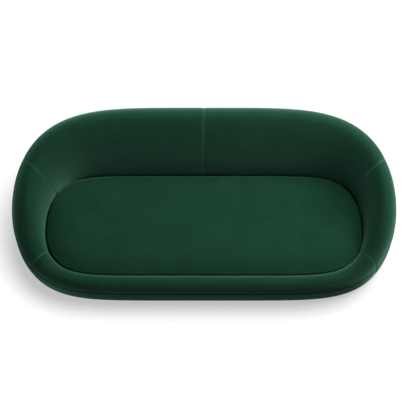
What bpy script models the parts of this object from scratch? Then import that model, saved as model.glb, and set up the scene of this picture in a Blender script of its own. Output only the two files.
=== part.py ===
"""Curved three-seat sofa with one loose bench cushion.

The tub is a plywood frame: a base ring, upright ribs, a seat ring and a bent cap,
closed by bent plywood skins outside and liners inside. Elastic webbing is woven
across the seat ring and carries the deck. Foam rolls ride on the cap and liners,
and velvet covers meet in a piping line that climbs from the front to the back.
The seat cushion is a zipped cover over a foam core, and it lifts straight out.

+X is to the right as seen from the front, +Y is to the back, the floor is z = 0.
"""
import math

import bmesh
import bpy
import numpy as np
from mathutils import Matrix, Vector

# Plan of the tub: half length, and the depths in front of and behind the widest line.
OUTER_HALF_LENGTH = 1.093
OUTER_FRONT_DEPTH = 0.450
OUTER_BACK_DEPTH = 0.577
ARM_WIDTH = 0.180
FRONT_ROLL_WIDTH = 0.0965
BACK_WIDTH = 0.3425
# 0 is an ellipse, 1 a rectangle.
OUTER_FRONT_SQUARE_SHARE = 0.677
OUTER_BACK_SQUARE_SHARE = 0.560
SEAT_SQUARE_SHARE = 0.765
SEAT_FRONT_SHARE = 0.427
SECTION_TURN_SHARE = 0.5

# Heights of the shape.
FLOOR_GAP = 0.028
FRONT_STUB_HEIGHT = 0.0295
PIPING_RISE = 0.270
FRONT_ROLL_HEIGHT = 0.100
BACK_ROLL_HEIGHT = 0.160
WELL_DEPTH = 0.100
SKIRT_TAPER = 0.012
SKIRT_BULGE = 0.012
FRONT_CREST_SHARE = 0.50
BACK_CREST_SHARE = 0.74
INSIDE_LEAN_SHARE = 0.30
PIPING_RADIUS = 0.003
PIPING_PROUD = 0.001

# Layers.
COVER_THICKNESS = 0.002
SKIN_THICKNESS = 0.005
LINER_THICKNESS = 0.004
PLY_THICKNESS = 0.018
DUST_THICKNESS = 0.0012
FELT_THICKNESS = 0.005
CLOTH_THICKNESS = 0.0013
TOUCH_GAP = 0.0004
SEAM_GAP = 0.0006
SKIN_JOINT = 0.002
FLANGE_WIDTH = 0.030

# Frame.
SEAT_RING_UNDERSIDE = 0.262
RING_INSIDE = 0.035
RIB_INSIDE = 0.030
RING_OUTSIDE = 0.0480
LINER_RUN = 0.0765
BEARER_SPACING = 0.450
BEARER_HEIGHT = 0.150
BOARD_EDGE_RADIUS = 0.002
RIB_HOLE_RADIUS = 0.050
CUT_OVERRUN = 0.020

# Webbing and what holds it.
BAND_WIDTH = 0.070
BAND_THICKNESS = 0.0018
BAND_SPACING = 0.125
LONG_BAND_SPACING = 0.120
BAND_GRIP = 0.018
BAND_PLATEAU = 0.004
WEAVE_BITE = 0.0002
STRIP_WIDTH = 0.012
STRIP_THICKNESS = 0.0015
DECK_TUCK = 0.040

# Feet.
FOOT_RADIUS = 0.025
FOOT_TAPER = 0.003
SCREW_HEAD_RADIUS = 0.006
SCREW_HEAD_HEIGHT = 0.006
SCREW_RADIUS = 0.003
SCREW_GRIP = 0.040
SCREW_TIP = 0.008
BORE_CLEARANCE = 0.0005
COUNTERBORE_DEPTH = 0.012

# Cushion.
CUSHION_GAP = 0.006
CUSHION_HEIGHT = 0.126
CUSHION_CROWN = 0.030
CUSHION_TOP_RADIUS = 0.030
CUSHION_FOOT_RADIUS = 0.012
CUSHION_DRAW_IN = 0.004
CORE_INSET = 0.005
ZIP_HALF_LENGTH = 0.350
ZIP_SLOT_HEIGHT = 0.005
ZIP_TAPE_HEIGHT = 0.024
ZIP_TAPE_THICKNESS = 0.001
ZIP_END_CLEARANCE = 0.003
SLIDER_LENGTH = 0.014
SLIDER_DEPTH = 0.0022
SLIDER_HEIGHT = 0.009
COIL_PROUD = 0.0010

# Shares and counts of the mesh.
FRONT_SEAM_TURN_SHARE = -0.228
BACK_SEAM_TURN_SHARE = 0.208
WALL_SHARES = (0.0, 0.33, 0.67, 1.0)
SHOULDER_SHARES = (0.30, 0.56, 0.80)
INSIDE_SHARES = (0.18, 0.36, 0.52, 0.68, 0.84)
CROWN_SHARES = (0.25, 0.55, 0.88)
STATION_COUNTS = (8, 7, 11)
CUSHION_STATION_COUNTS = (7, 6, 8)
PLAN_SAMPLES = 480
TURN_WEIGHT_SHARE = 0.55
STEP_SHARE = 0.002
FOOT_SIDES = 12
HOLE_SIDES = 10

# Levels that follow from the sizes above.
BASE_UNDERSIDE = FLOOR_GAP + COVER_THICKNESS + TOUCH_GAP
BASE_TOP = BASE_UNDERSIDE + PLY_THICKNESS
RING_TOP = SEAT_RING_UNDERSIDE + PLY_THICKNESS
BAND_BOTTOM = RING_TOP + TOUCH_GAP
OVER_BOTTOM = BAND_BOTTOM + BAND_THICKNESS - WEAVE_BITE
UNDER_BOTTOM = BAND_BOTTOM - BAND_THICKNESS + WEAVE_BITE
STRIP_BOTTOM = BAND_BOTTOM + BAND_THICKNESS + TOUCH_GAP
FELT_BOTTOM = max(OVER_BOTTOM + BAND_THICKNESS, STRIP_BOTTOM + STRIP_THICKNESS) + TOUCH_GAP
CLOTH_BOTTOM = FELT_BOTTOM + FELT_THICKNESS + TOUCH_GAP
DECK_TOP = CLOTH_BOTTOM + CLOTH_THICKNESS
SEAT_LINE = DECK_TOP + WELL_DEPTH
FRONT_PIPING = RING_TOP + FRONT_STUB_HEIGHT + PLY_THICKNESS + PIPING_RADIUS
SKIN_INSET = COVER_THICKNESS + TOUCH_GAP
CORE_INSET_DEPTH = SKIN_INSET + SKIN_THICKNESS + TOUCH_GAP
LINER_FOOT = RING_OUTSIDE + TOUCH_GAP

MATERIALS = {
    "velvet": ((0.012, 0.052, 0.033), 0.72, 0.0),
    "piping": ((0.014, 0.058, 0.037), 0.70, 0.0),
    "birch_ply": ((0.62, 0.44, 0.25), 0.60, 0.0),
    "bent_ply": ((0.50, 0.34, 0.19), 0.62, 0.0),
    "foam": ((0.80, 0.74, 0.52), 0.90, 0.0),
    "webbing": ((0.05, 0.05, 0.06), 0.85, 0.0),
    "steel": ((0.55, 0.55, 0.56), 0.35, 1.0),
    "strip": ((0.45, 0.34, 0.22), 0.85, 0.0),
    "felt": ((0.20, 0.20, 0.20), 0.95, 0.0),
    "lining": ((0.02, 0.02, 0.02), 0.90, 0.0),
    "foot_plastic": ((0.015, 0.015, 0.015), 0.45, 0.0),
    "zip": ((0.02, 0.05, 0.035), 0.60, 0.0),
}


def smooth(share):
    """A soft step from 0 to 1."""
    share = min(max(share, 0.0), 1.0)
    return share * share * (3 - 2 * share)


class Outline:
    """A superellipse whose front and back halves may differ."""

    def __init__(self, half_length, front, back, middle, front_share, back_share):
        self.half_length = half_length
        self.middle = middle
        self.halves = ((front, 2 / (1 - front_share)), (back, 2 / (1 - back_share)))

    def half(self, y):
        return self.halves[0] if y < self.middle else self.halves[1]

    def point(self, turn):
        depth, power = self.halves[0] if turn < 0 else self.halves[1]
        across = max(math.cos(turn), 0.0) ** (2 / power)
        return Vector((self.half_length * across, self.middle + depth * math.sin(turn)))

    def level(self, point):
        depth, power = self.half(point.y)
        along = abs(point.x) / self.half_length
        return along ** power + ((point.y - self.middle) / depth) ** 2 - 1

    def normal(self, point):
        depth, power = self.half(point.y)
        along = abs(point.x) / self.half_length
        slope = Vector((power * along ** (power - 1) / self.half_length,
                        2 * (point.y - self.middle) / depth ** 2))
        return slope.normalized()

    def sampled(self, count):
        """Points at even spacing from the front centre to the back centre."""
        turns = np.linspace(-math.pi / 2, math.pi / 2, 4 * count + 1)
        points = np.array([self.point(turn) for turn in turns])
        run = np.hypot(*np.diff(points, axis=0).T)
        run = np.concatenate([[0.0], np.cumsum(run)])
        even = np.linspace(0.0, run[-1], count + 1)
        xs = np.interp(even, run, points[:, 0])
        ys = np.interp(even, run, points[:, 1])
        return [Vector((x, y)) for x, y in zip(xs, ys)]

    def reach(self, start, direction):
        """Where the line from an inner point meets the outline."""
        low, high = 0.0, self.half_length
        for _ in range(48):
            middle = (low + high) / 2
            if self.level(start + direction * middle) < 0:
                low = middle
            else:
                high = middle
        return start + direction * low


class Plan:
    """Pairs of points, one on the seat well and one on the outside, all round.

    A place is a share of the way round: 0 at the front centre, a quarter or so at
    the right arm, one half at the back centre.
    """

    def __init__(self):
        middle = (OUTER_FRONT_DEPTH - OUTER_BACK_DEPTH) / 2
        self.outer = Outline(OUTER_HALF_LENGTH, OUTER_FRONT_DEPTH, OUTER_BACK_DEPTH, middle,
                             OUTER_FRONT_SQUARE_SHARE, OUTER_BACK_SQUARE_SHARE)
        self.front = middle - OUTER_FRONT_DEPTH + FRONT_ROLL_WIDTH
        self.back = middle + OUTER_BACK_DEPTH - BACK_WIDTH
        depth = self.back - self.front
        self.seat_middle = self.front + SEAT_FRONT_SHARE * depth
        self.seat = Outline(OUTER_HALF_LENGTH - ARM_WIDTH, SEAT_FRONT_SHARE * depth,
                            (1 - SEAT_FRONT_SHARE) * depth, self.seat_middle,
                            SEAT_SQUARE_SHARE, SEAT_SQUARE_SHARE)
        self.wells, self.outs, self.turns = [], [], []
        rim = self.outer.sampled(4 * PLAN_SAMPLES)
        nearest = 0
        for well in self.seat.sampled(PLAN_SAMPLES):
            gaps = [(rim[i] - well).length for i in range(nearest, len(rim))]
            nearest += gaps.index(min(gaps))
            square = self.outer.normal(rim[nearest])
            own = self.seat.normal(well)
            blend = smooth((well.y - self.seat_middle)
                           / (SECTION_TURN_SHARE * (self.back - self.seat_middle)))
            turn = ((1 - blend) * math.atan2(square.y, square.x)
                    + blend * math.atan2(own.y, own.x))
            direction = Vector((math.cos(turn), math.sin(turn)))
            self.wells.append(well)
            self.outs.append(self.outer.reach(well, direction))
            self.turns.append(turn)
        self.outs[0].x = self.outs[-1].x = 0.0
        length = [0.0]
        for i in range(1, len(self.wells)):
            step = ((self.wells[i] - self.wells[i - 1]).length
                    + (self.outs[i] - self.outs[i - 1]).length)
            length.append(length[-1] + step)
        swing = [(turn - self.turns[0]) / (self.turns[-1] - self.turns[0])
                 for turn in self.turns]
        self.places = [0.5 * ((1 - TURN_WEIGHT_SHARE) * length[i] / length[-1]
                              + TURN_WEIGHT_SHARE * swing[i]) for i in range(len(length))]
        self.table = np.array([(*w, *o) for w, o in zip(self.wells, self.outs)])

    def pair(self, place):
        place %= 1.0
        half = min(place, 1.0 - place)
        values = [float(np.interp(half, self.places, self.table[:, i])) for i in range(4)]
        side = 1.0 if place <= 0.5 else -1.0
        return (Vector((side * values[0], values[1])), Vector((side * values[2], values[3])))

    def place_at_x(self, x, back):
        """The place on the front or back run of the well line at this x."""
        values = [well.x for well in self.wells]
        widest = values.index(max(values))
        if back:
            xs, places = values[widest:][::-1], self.places[widest:][::-1]
        else:
            xs, places = values[:widest], self.places[:widest]
        return float(np.interp(x, xs, places))

    def place_at_turn(self, share):
        return float(np.interp(share * math.pi, self.turns, self.places))


class Section:
    """The upright cut through the tub at one place."""

    def __init__(self, plan, place):
        self.well, self.out = plan.pair(place)
        across = self.out - self.well
        self.width = across.length
        self.direction = across.normalized()
        rise = smooth((self.well.y - plan.front) / (plan.back - plan.front))
        self.rise = rise
        self.piping = FRONT_PIPING + PIPING_RISE * rise
        roll = FRONT_ROLL_HEIGHT + (BACK_ROLL_HEIGHT - FRONT_ROLL_HEIGHT) * rise
        self.crest = self.piping + roll
        crest_share = FRONT_CREST_SHARE + (BACK_CREST_SHARE - FRONT_CREST_SHARE) * rise ** 2
        self.crest_run = self.width * crest_share
        self.core_top = self.piping - PIPING_RADIUS
        self.cap_under = self.core_top - PLY_THICKNESS
        self.liner_top = LINER_FOOT + LINER_RUN * rise

    def at(self, run, height):
        flat = self.well + self.direction * run
        return Vector((flat.x, flat.y, height))

    def liner_run(self, height):
        """How far out the liner's seat side stands at this height."""
        low = RING_TOP + TOUCH_GAP
        return LINER_FOOT + (self.liner_top - LINER_FOOT) * (height - low) / (self.core_top - low)


PLAN = Plan()
SECTIONS = {}


def section(place):
    key = round(place % 1.0, 9)
    if key not in SECTIONS:
        SECTIONS[key] = Section(PLAN, key)
    return SECTIONS[key]


def wall(place, share):
    """The outside of the skirt, from the floor edge (0) to the piping line (1)."""
    cut = section(place)
    rows = [cut.width - SKIRT_TAPER * (1 - row) + SKIRT_BULGE * math.sin(math.pi * row)
            for row in WALL_SHARES]
    run = float(np.interp(share, WALL_SHARES, rows))
    return cut.at(run, FLOOR_GAP + (cut.piping - FLOOR_GAP) * share)


def roll(place, share):
    """The outside of the roll: shoulder 0 to 1, inside 1 to 2, well side 2 to 3."""
    cut = section(place)
    if share <= 1:
        turn = share * math.pi / 2
        return cut.at(cut.crest_run + (cut.width - cut.crest_run) * math.cos(turn),
                      cut.piping + (cut.crest - cut.piping) * math.sin(turn))
    if share <= 2:
        turn = (share - 1) * math.pi / 2
        power = 1 + INSIDE_LEAN_SHARE
        inward = max(math.sin(turn), 0.0) ** power
        height = max(math.cos(turn), 0.0) ** power
        return cut.at(cut.crest_run * (1 - inward), SEAT_LINE + (cut.crest - SEAT_LINE) * height)
    low = DECK_TOP + TOUCH_GAP
    return cut.at(0.0, SEAT_LINE + (low - SEAT_LINE) * (share - 2))


def inset(surface, place, share, depth, last):
    """The point at a depth under an outside surface, square to it."""
    low, high = max(share - STEP_SHARE, 0.0), min(share + STEP_SHARE, last)
    round_way = surface(place + STEP_SHARE, share) - surface(place - STEP_SHARE, share)
    along = surface(place, high) - surface(place, low)
    return surface(place, share) - round_way.cross(along).normalized() * depth


def wall_at(place, height, depth):
    cut = section(place)
    share = (height - FLOOR_GAP) / (cut.piping - FLOOR_GAP)
    point = inset(wall, place, share, depth, 1.0)
    point.z = height
    return point


def shoulder_start(place):
    """The share of the roll where the cover starts, just above the piping."""
    cut = section(place)
    rise = (PIPING_RADIUS + TOUCH_GAP) / (cut.crest - cut.piping)
    return math.asin(rise) / (math.pi / 2)


def roll_shares(place):
    return ([shoulder_start(place)] + list(SHOULDER_SHARES) + [1.0]
            + [1 + share for share in INSIDE_SHARES] + [2.0, 3.0])


def spaced(anchors, counts):
    """Places from anchor to anchor, with so many steps between each two."""
    places = []
    for start, end, count in zip(anchors, anchors[1:], counts):
        places += [start + (end - start) * i / count for i in range(count)]
    return places + [anchors[-1]]


FRONT_SEAM = PLAN.place_at_turn(FRONT_SEAM_TURN_SHARE)
BACK_SEAM = PLAN.place_at_turn(BACK_SEAM_TURN_SHARE)


def all_round(counts):
    right = spaced([0.0, FRONT_SEAM, BACK_SEAM, 0.5], counts)
    return right + [1 - place for place in right[-2:0:-1]]


STATIONS = all_round(STATION_COUNTS)


def stretch(start, end, gap=SEAM_GAP):
    """The stations from one seam to the next, drawn in by half a gap at each end."""
    def nudge(place):
        well_a, out_a = PLAN.pair(place - STEP_SHARE)
        well_b, out_b = PLAN.pair(place + STEP_SHARE)
        pace = min((well_b - well_a).length, (out_b - out_a).length) / (2 * STEP_SHARE)
        return gap / 2 / pace
    wide = [place - 1 for place in STATIONS] + STATIONS + [place + 1 for place in STATIONS]
    inner = [place for place in wide if start + STEP_SHARE < place < end - STEP_SHARE]
    return [start + nudge(start)] + inner + [end - nudge(end)]


RANGES = {
    "front": (-FRONT_SEAM, FRONT_SEAM),
    "right": (FRONT_SEAM, BACK_SEAM),
    "back": (BACK_SEAM, 1 - BACK_SEAM),
    "left": (1 - BACK_SEAM, 1 - FRONT_SEAM),
}


def clear_scene():
    for obj in list(bpy.data.objects):
        bpy.data.objects.remove(obj, do_unlink=True)


def collection(name):
    group = bpy.data.collections.get(name) or bpy.data.collections.new(name)
    if group.name not in bpy.context.scene.collection.children:
        bpy.context.scene.collection.children.link(group)
    return group


def material(name):
    found = bpy.data.materials.get(name)
    if found:
        return found
    colour, roughness, metallic = MATERIALS[name]
    made = bpy.data.materials.new(name)
    made.use_nodes = True
    shader = made.node_tree.nodes["Principled BSDF"]
    shader.inputs["Base Color"].default_value = (*colour, 1.0)
    shader.inputs["Roughness"].default_value = roughness
    shader.inputs["Metallic"].default_value = metallic
    made.diffuse_color = (*colour, 1.0)
    return made


def add_object(name, mesh, look):
    obj = bpy.data.objects.new(name, mesh)
    collection("curved_sofa").objects.link(obj)
    if look:
        mesh.materials.append(material(look))
    return obj


def finish_mesh(shape, name, closed=True):
    mesh = bpy.data.meshes.new(name)
    if closed:
        bmesh.ops.recalc_face_normals(shape, faces=shape.faces)
    shape.to_mesh(mesh)
    shape.free()
    mesh.shade_smooth()
    mesh.set_sharp_from_angle(angle=math.radians(35))
    return mesh


def loft(name, rings, look, ring_closed=True, round_closed=False, turned_back=()):
    """Skins rings of points that follow one another round the tub.

    Each four-cornered patch is split from its first corner, and on the left half
    from its second, so that the halves match. Pieces that face each other run their
    points in opposite order, so one of them lists those sides in turned_back, and
    then both are split alike and stay parallel.
    """
    shape = bmesh.new()
    rows = [[shape.verts.new(point) for point in ring] for ring in rings]
    across = len(rings[0])
    for i in range(len(rows) if round_closed else len(rows) - 1):
        here, there = rows[i], rows[(i + 1) % len(rows)]
        for k in range(across if ring_closed else across - 1):
            j = (k + 1) % across
            left = here[k].co.x + there[k].co.x + here[j].co.x + there[j].co.x < 0
            if left == (k - across in turned_back):
                shape.faces.new((here[k], there[k], there[j]))
                shape.faces.new((here[k], there[j], here[j]))
            else:
                shape.faces.new((here[k], there[k], here[j]))
                shape.faces.new((there[k], there[j], here[j]))
    if ring_closed and not round_closed:
        shape.faces.new(rows[0])
        shape.faces.new(rows[-1][::-1])
    return add_object(name, finish_mesh(shape, name, ring_closed), look)


def solidify(obj, thickness, offset=-1.0):
    thick = obj.modifiers.new("Thickness", "SOLIDIFY")
    thick.thickness = thickness
    thick.offset = offset
    thick.use_even_offset = True
    return obj


def apply_modifiers(obj):
    graph = bpy.context.evaluated_depsgraph_get()
    mesh = bpy.data.meshes.new_from_object(obj.evaluated_get(graph))
    obj.modifiers.clear()
    obj.data = mesh
    return obj


def cut(obj, cutter, operation="DIFFERENCE"):
    cutter.hide_render = True
    cutter.display_type = "WIRE"
    for group in cutter.users_collection:
        group.objects.unlink(cutter)
    collection("curved_sofa_cutters").objects.link(cutter)
    knife = obj.modifiers.new("Cut", "BOOLEAN")
    knife.operation = operation
    knife.object = cutter
    return obj


def box(name, size, centre, turn=0.0, look=None, edge=0.0):
    shape = bmesh.new()
    bmesh.ops.create_cube(shape, size=1.0)
    bmesh.ops.scale(shape, vec=Vector(size), verts=shape.verts)
    obj = add_object(name, finish_mesh(shape, name), look)
    obj.location = centre
    obj.rotation_euler.z = turn
    if edge:
        round_off = obj.modifiers.new("Edges", "BEVEL")
        round_off.width = edge
        round_off.segments = 1
    return obj


def rod(name, radius, length, matrix):
    shape = bmesh.new()
    bmesh.ops.create_cone(shape, cap_ends=True, segments=HOLE_SIDES, radius1=radius,
                          radius2=radius, depth=length)
    obj = add_object(name, finish_mesh(shape, name), None)
    obj.matrix_world = matrix
    return obj


def sheet(name, outlines, bottom, thickness, look):
    """A flat board or cloth: the first outline less the others."""
    flat = bpy.data.curves.new(name, "CURVE")
    flat.dimensions = "2D"
    flat.fill_mode = "BOTH"
    flat.extrude = thickness / 2
    for outline in outlines:
        spline = flat.splines.new("POLY")
        spline.points.add(len(outline) - 1)
        for point, place in zip(spline.points, outline):
            point.co = (place[0], place[1], 0.0, 1.0)
        spline.use_cyclic_u = True
    return as_mesh(flat, name, Matrix.Translation((0, 0, bottom + thickness / 2)), look)


def as_mesh(curve, name, matrix, look):
    """Turns a curve into a closed mesh object of the same name."""
    source = bpy.data.objects.new(name + "_curve", curve)
    collection("curved_sofa").objects.link(source)
    source.matrix_world = matrix
    graph = bpy.context.evaluated_depsgraph_get()
    mesh = bpy.data.meshes.new_from_object(source.evaluated_get(graph))
    shape = bmesh.new()
    shape.from_mesh(mesh)
    bmesh.ops.remove_doubles(shape, verts=shape.verts, dist=TOUCH_GAP / 10)
    bpy.data.meshes.remove(mesh)
    obj = add_object(name, finish_mesh(shape, name), look)
    obj.matrix_world = matrix
    bpy.data.objects.remove(source, do_unlink=True)
    return obj


def circle(centre, radius, sides=HOLE_SIDES):
    return [(centre[0] + radius * math.cos(2 * math.pi * i / sides),
             centre[1] + radius * math.sin(2 * math.pi * i / sides)) for i in range(sides)]


def turned(name, profile, look, sides):
    """A profile of (radius, height) points, outer side first from top to bottom."""
    shape = bmesh.new()
    verts = [shape.verts.new((radius, 0.0, height)) for radius, height in profile]
    for a, b in zip(verts, verts[1:] + verts[:1]):
        if profile[verts.index(a)][0] > 0 or profile[verts.index(b)][0] > 0:
            shape.edges.new((a, b))
    mesh = bpy.data.meshes.new(name)
    shape.to_mesh(mesh)
    shape.free()
    obj = add_object(name, mesh, look)
    screw = obj.modifiers.new("Turn", "SCREW")
    screw.steps = screw.render_steps = sides
    screw.use_merge_vertices = True
    screw.merge_threshold = TOUCH_GAP / 10
    apply_modifiers(obj)
    shape = bmesh.new()
    shape.from_mesh(obj.data)
    obj.data = finish_mesh(shape, name)
    obj.data.materials.clear()
    obj.data.materials.append(material(look))
    return obj


def joined(name, pieces, look):
    """One object from several, for what a Boolean then cuts or welds."""
    shape = bmesh.new()
    for piece in pieces:
        apply_modifiers(piece)
        piece.data.transform(piece.matrix_basis)
        shape.from_mesh(piece.data)
        bpy.data.objects.remove(piece, do_unlink=True)
    return add_object(name, finish_mesh(shape, name), look)


# The frame.

def back_corner():
    """The place of the rib that takes a back corner, between the seam and the bearer."""
    return (BACK_SEAM + PLAN.place_at_x(BEARER_SPACING, back=True)) / 2


def foot_places():
    return [0.0, FRONT_SEAM, back_corner(), 0.5, 1 - back_corner(), 1 - FRONT_SEAM]


def foot_centre(place):
    """Midway between the inside of the base ring and the hem of the skirt."""
    spot = section(place)
    return spot.at((spot.width - SKIRT_TAPER - FLANGE_WIDTH - RIB_INSIDE) / 2, 0.0)


def board_ring(name, outer, inner, bottom, holes=()):
    return sheet(name, [outer, inner, *holes], bottom, PLY_THICKNESS, "birch_ply")


def make_rings():
    outer = [wall_at(place, BASE_UNDERSIDE, CORE_INSET_DEPTH) for place in STATIONS]
    inner = [section(place).at(-RIB_INSIDE, 0.0) for place in STATIONS]
    holes = [circle(foot_centre(place), SCREW_RADIUS + BORE_CLEARANCE)
             for place in foot_places()]
    board_ring("base_ring", outer, inner, BASE_UNDERSIDE, holes)
    outer = [section(place).at(RING_OUTSIDE, 0.0) for place in STATIONS]
    inner = [section(place).at(-RING_INSIDE, 0.0) for place in STATIONS]
    board_ring("seat_ring", outer, inner, SEAT_RING_UNDERSIDE)
    rings = []
    for place in STATIONS:
        spot = section(place)
        rings.append([spot.at(spot.liner_run(spot.cap_under), spot.cap_under),
                      wall_at(place, spot.cap_under, CORE_INSET_DEPTH),
                      wall_at(place, spot.core_top, CORE_INSET_DEPTH),
                      spot.at(spot.liner_top, spot.core_top)])
    loft("cap_rail", rings, "bent_ply", round_closed=True, turned_back=(-4,))


def core_ring(place):
    """Outline of the space between the skins, where the ribs stand."""
    spot = section(place)
    low, top = BASE_TOP + TOUCH_GAP, spot.cap_under - TOUCH_GAP
    step = SEAT_RING_UNDERSIDE - TOUCH_GAP
    lined = LINER_THICKNESS + TOUCH_GAP
    middle = [wall_at(place, FLOOR_GAP + (spot.piping - FLOOR_GAP) * share, CORE_INSET_DEPTH)
              for share in WALL_SHARES[1:-1]]
    return ([spot.at(-RIB_INSIDE, low), wall_at(place, low, CORE_INSET_DEPTH)] + middle
            + [wall_at(place, top, CORE_INSET_DEPTH),
               spot.at(spot.liner_run(top) + lined, top),
               spot.at(LINER_FOOT + lined, step), spot.at(-RIB_INSIDE, step)])


def rib_places():
    front = PLAN.place_at_x(BEARER_SPACING, back=False)
    back = PLAN.place_at_x(BEARER_SPACING, back=True)
    right = {"front": front, "front_corner": FRONT_SEAM, "arm": (FRONT_SEAM + BACK_SEAM) / 2,
             "back_seam": BACK_SEAM, "back_corner": back_corner(), "back": back}
    places = {"rib_front_centre": 0.0, "rib_back_centre": 0.5}
    for name, place in right.items():
        places["rib_" + name + "_right"] = place
        places["rib_" + name + "_left"] = 1 - place
    return places


def make_ribs():
    rings = [core_ring(place) for place in STATIONS]
    screwed = {round(place, 6) for place in foot_places()}
    for name, place in rib_places().items():
        spot = section(place)
        turn = math.atan2(spot.direction.y, spot.direction.x)
        low, high = BASE_UNDERSIDE, spot.crest
        reach = spot.width + RIB_INSIDE + 2 * CUT_OVERRUN
        rib = box(name, (reach, PLY_THICKNESS, high - low),
                  spot.at((spot.width - RIB_INSIDE) / 2, (low + high) / 2), turn, "birch_ply")
        core = loft(name + "_space", rings, None, round_closed=True)
        cut(rib, core, "INTERSECT")
        if spot.width > 4 * RIB_HOLE_RADIUS:
            centre = spot.at((spot.width - RIB_INSIDE) / 2, (BASE_TOP + SEAT_RING_UNDERSIDE) / 2)
            matrix = (Matrix.Translation(centre) @ Matrix.Rotation(turn, 4, "Z")
                      @ Matrix.Rotation(math.pi / 2, 4, "X"))
            cut(rib, rod(name + "_hole", RIB_HOLE_RADIUS, PLY_THICKNESS + CUT_OVERRUN, matrix))
        if round(place, 6) in screwed:
            depth = SCREW_GRIP + SCREW_TIP + BORE_CLEARANCE
            centre = foot_centre(place)
            centre.z = BASE_TOP + (depth - CUT_OVERRUN) / 2
            cut(rib, rod(name + "_bore", SCREW_RADIUS + BORE_CLEARANCE, depth + CUT_OVERRUN,
                         Matrix.Translation(centre)))


def make_bearers():
    inside = RIB_INSIDE + TOUCH_GAP
    for name, x in (("left", -BEARER_SPACING), ("centre", 0.0), ("right", BEARER_SPACING)):
        front = section(PLAN.place_at_x(abs(x), back=False)).at(-inside, 0.0)
        back = section(PLAN.place_at_x(abs(x), back=True)).at(-inside, 0.0)
        length = back.y - front.y
        centre = Vector((math.copysign((front.x + back.x) / 2, x), (front.y + back.y) / 2,
                         BASE_TOP + TOUCH_GAP + BEARER_HEIGHT / 2))
        box("bearer_" + name, (PLY_THICKNESS, length, BEARER_HEIGHT), centre,
            look="birch_ply", edge=BOARD_EDGE_RADIUS)


def make_skins():
    for name, (start, end) in RANGES.items():
        rings = []
        for place in stretch(start, end, SKIN_JOINT):
            spot = section(place)
            ring = [wall_at(place, BASE_UNDERSIDE, SKIN_INSET)]
            ring += [inset(wall, place, share, SKIN_INSET, 1.0) for share in WALL_SHARES[1:-1]]
            ring.append(wall_at(place, spot.core_top, SKIN_INSET))
            rings.append(ring)
        solidify(loft("outer_skin_" + name, rings, "bent_ply", ring_closed=False),
                 SKIN_THICKNESS)
        if name == "front":
            continue
        rings = []
        for place in stretch(start, end, SKIN_JOINT):
            spot = section(place)
            top, low = spot.cap_under - TOUCH_GAP, RING_TOP + TOUCH_GAP
            rings.append([spot.at(spot.liner_run(top), top), spot.at(LINER_FOOT, low)])
        solidify(loft("liner_" + name, rings, "bent_ply", ring_closed=False), LINER_THICKNESS)


# The seat platform.

def evenly(reach, spacing):
    """As many places as fit within the reach to both sides of a middle one."""
    each_side = int(reach / spacing)
    return [spacing * i for i in range(-each_side, each_side + 1)]


def long_band_ys():
    middle = (PLAN.front + PLAN.back) / 2
    reach = (PLAN.back - PLAN.front) / 2 - RING_INSIDE - BAND_WIDTH / 2
    return [middle + y for y in evenly(reach, LONG_BAND_SPACING)]


def band_xs():
    """The cross bands stay clear of where the long bands come down on the ring."""
    reach = min(well_x(y) for y in long_band_ys())
    return evenly(reach - RING_INSIDE - BAND_WIDTH / 2 - BAND_PLATEAU, BAND_SPACING)


def well_y(x, back):
    return PLAN.pair(PLAN.place_at_x(abs(x), back))[0].y


def well_x(y):
    ys = [well.y for well in PLAN.wells]
    return float(np.interp(y, ys, [well.x for well in PLAN.wells]))


def make_webbing():
    """Bands front to back, with long bands woven over and under them."""
    bands = []
    for i, x in enumerate(band_xs()):
        low, high = well_y(x, False) - BAND_GRIP, well_y(x, True) + BAND_GRIP
        bands.append(box(f"band_{i}", (BAND_WIDTH, high - low, BAND_THICKNESS),
                         (x, (low + high) / 2, BAND_BOTTOM + BAND_THICKNESS / 2)))
    webbing = joined("webbing", bands, "webbing")
    long_bands = []
    for j, y in enumerate(long_band_ys()):
        reach = well_x(y) + BAND_GRIP
        lift = BAND_WIDTH / 2 + BAND_PLATEAU
        line = [(-reach, BAND_BOTTOM), (-reach + RING_INSIDE + BAND_GRIP, BAND_BOTTOM)]
        for i, x in enumerate(band_xs()):
            level = OVER_BOTTOM if (i + j) % 2 == 0 else UNDER_BOTTOM
            line += [(x - lift, level), (x + lift, level)]
        line += [(reach - RING_INSIDE - BAND_GRIP, BAND_BOTTOM), (reach, BAND_BOTTOM)]
        rings = [[Vector((x, y - BAND_WIDTH / 2, z)), Vector((x, y + BAND_WIDTH / 2, z))]
                 for x, z in line]
        long_bands.append(solidify(loft(f"long_band_{j}", rings, None, ring_closed=False),
                                   BAND_THICKNESS, offset=1.0))
    cut(webbing, joined("long_bands", long_bands, None), "UNION")
    outer = [section(place).at(BAND_GRIP, 0.0) for place in STATIONS]
    inner = [section(place).at(BAND_GRIP - STRIP_WIDTH, 0.0) for place in STATIONS]
    sheet("tack_strip", [outer, inner], STRIP_BOTTOM, STRIP_THICKNESS, "strip")


def make_deck():
    outline = [section(place).at(DECK_TUCK, 0.0) for place in STATIONS]
    sheet("deck_felt", [outline], FELT_BOTTOM, FELT_THICKNESS, "felt")
    sheet("deck_cloth", [outline], CLOTH_BOTTOM, CLOTH_THICKNESS, "lining")


# The upholstery.

def make_foams():
    for name, (start, end) in RANGES.items():
        rings = []
        for place in stretch(start, end):
            spot = section(place)
            low = spot.core_top + TOUCH_GAP
            ring = [wall_at(place, low, SKIN_INSET)]
            ring += [inset(roll, place, share, SKIN_INSET, 3.0) for share in roll_shares(place)]
            ring.append(spot.at(LINER_FOOT - TOUCH_GAP, DECK_TOP + TOUCH_GAP))
            ring.append(spot.at(spot.liner_run(spot.cap_under) - TOUCH_GAP, spot.cap_under))
            ring.append(spot.at(spot.liner_top - TOUCH_GAP, low))
            rings.append(ring)
        loft("foam_" + name, rings, "foam", turned_back=(-1, -2, -3))


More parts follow.
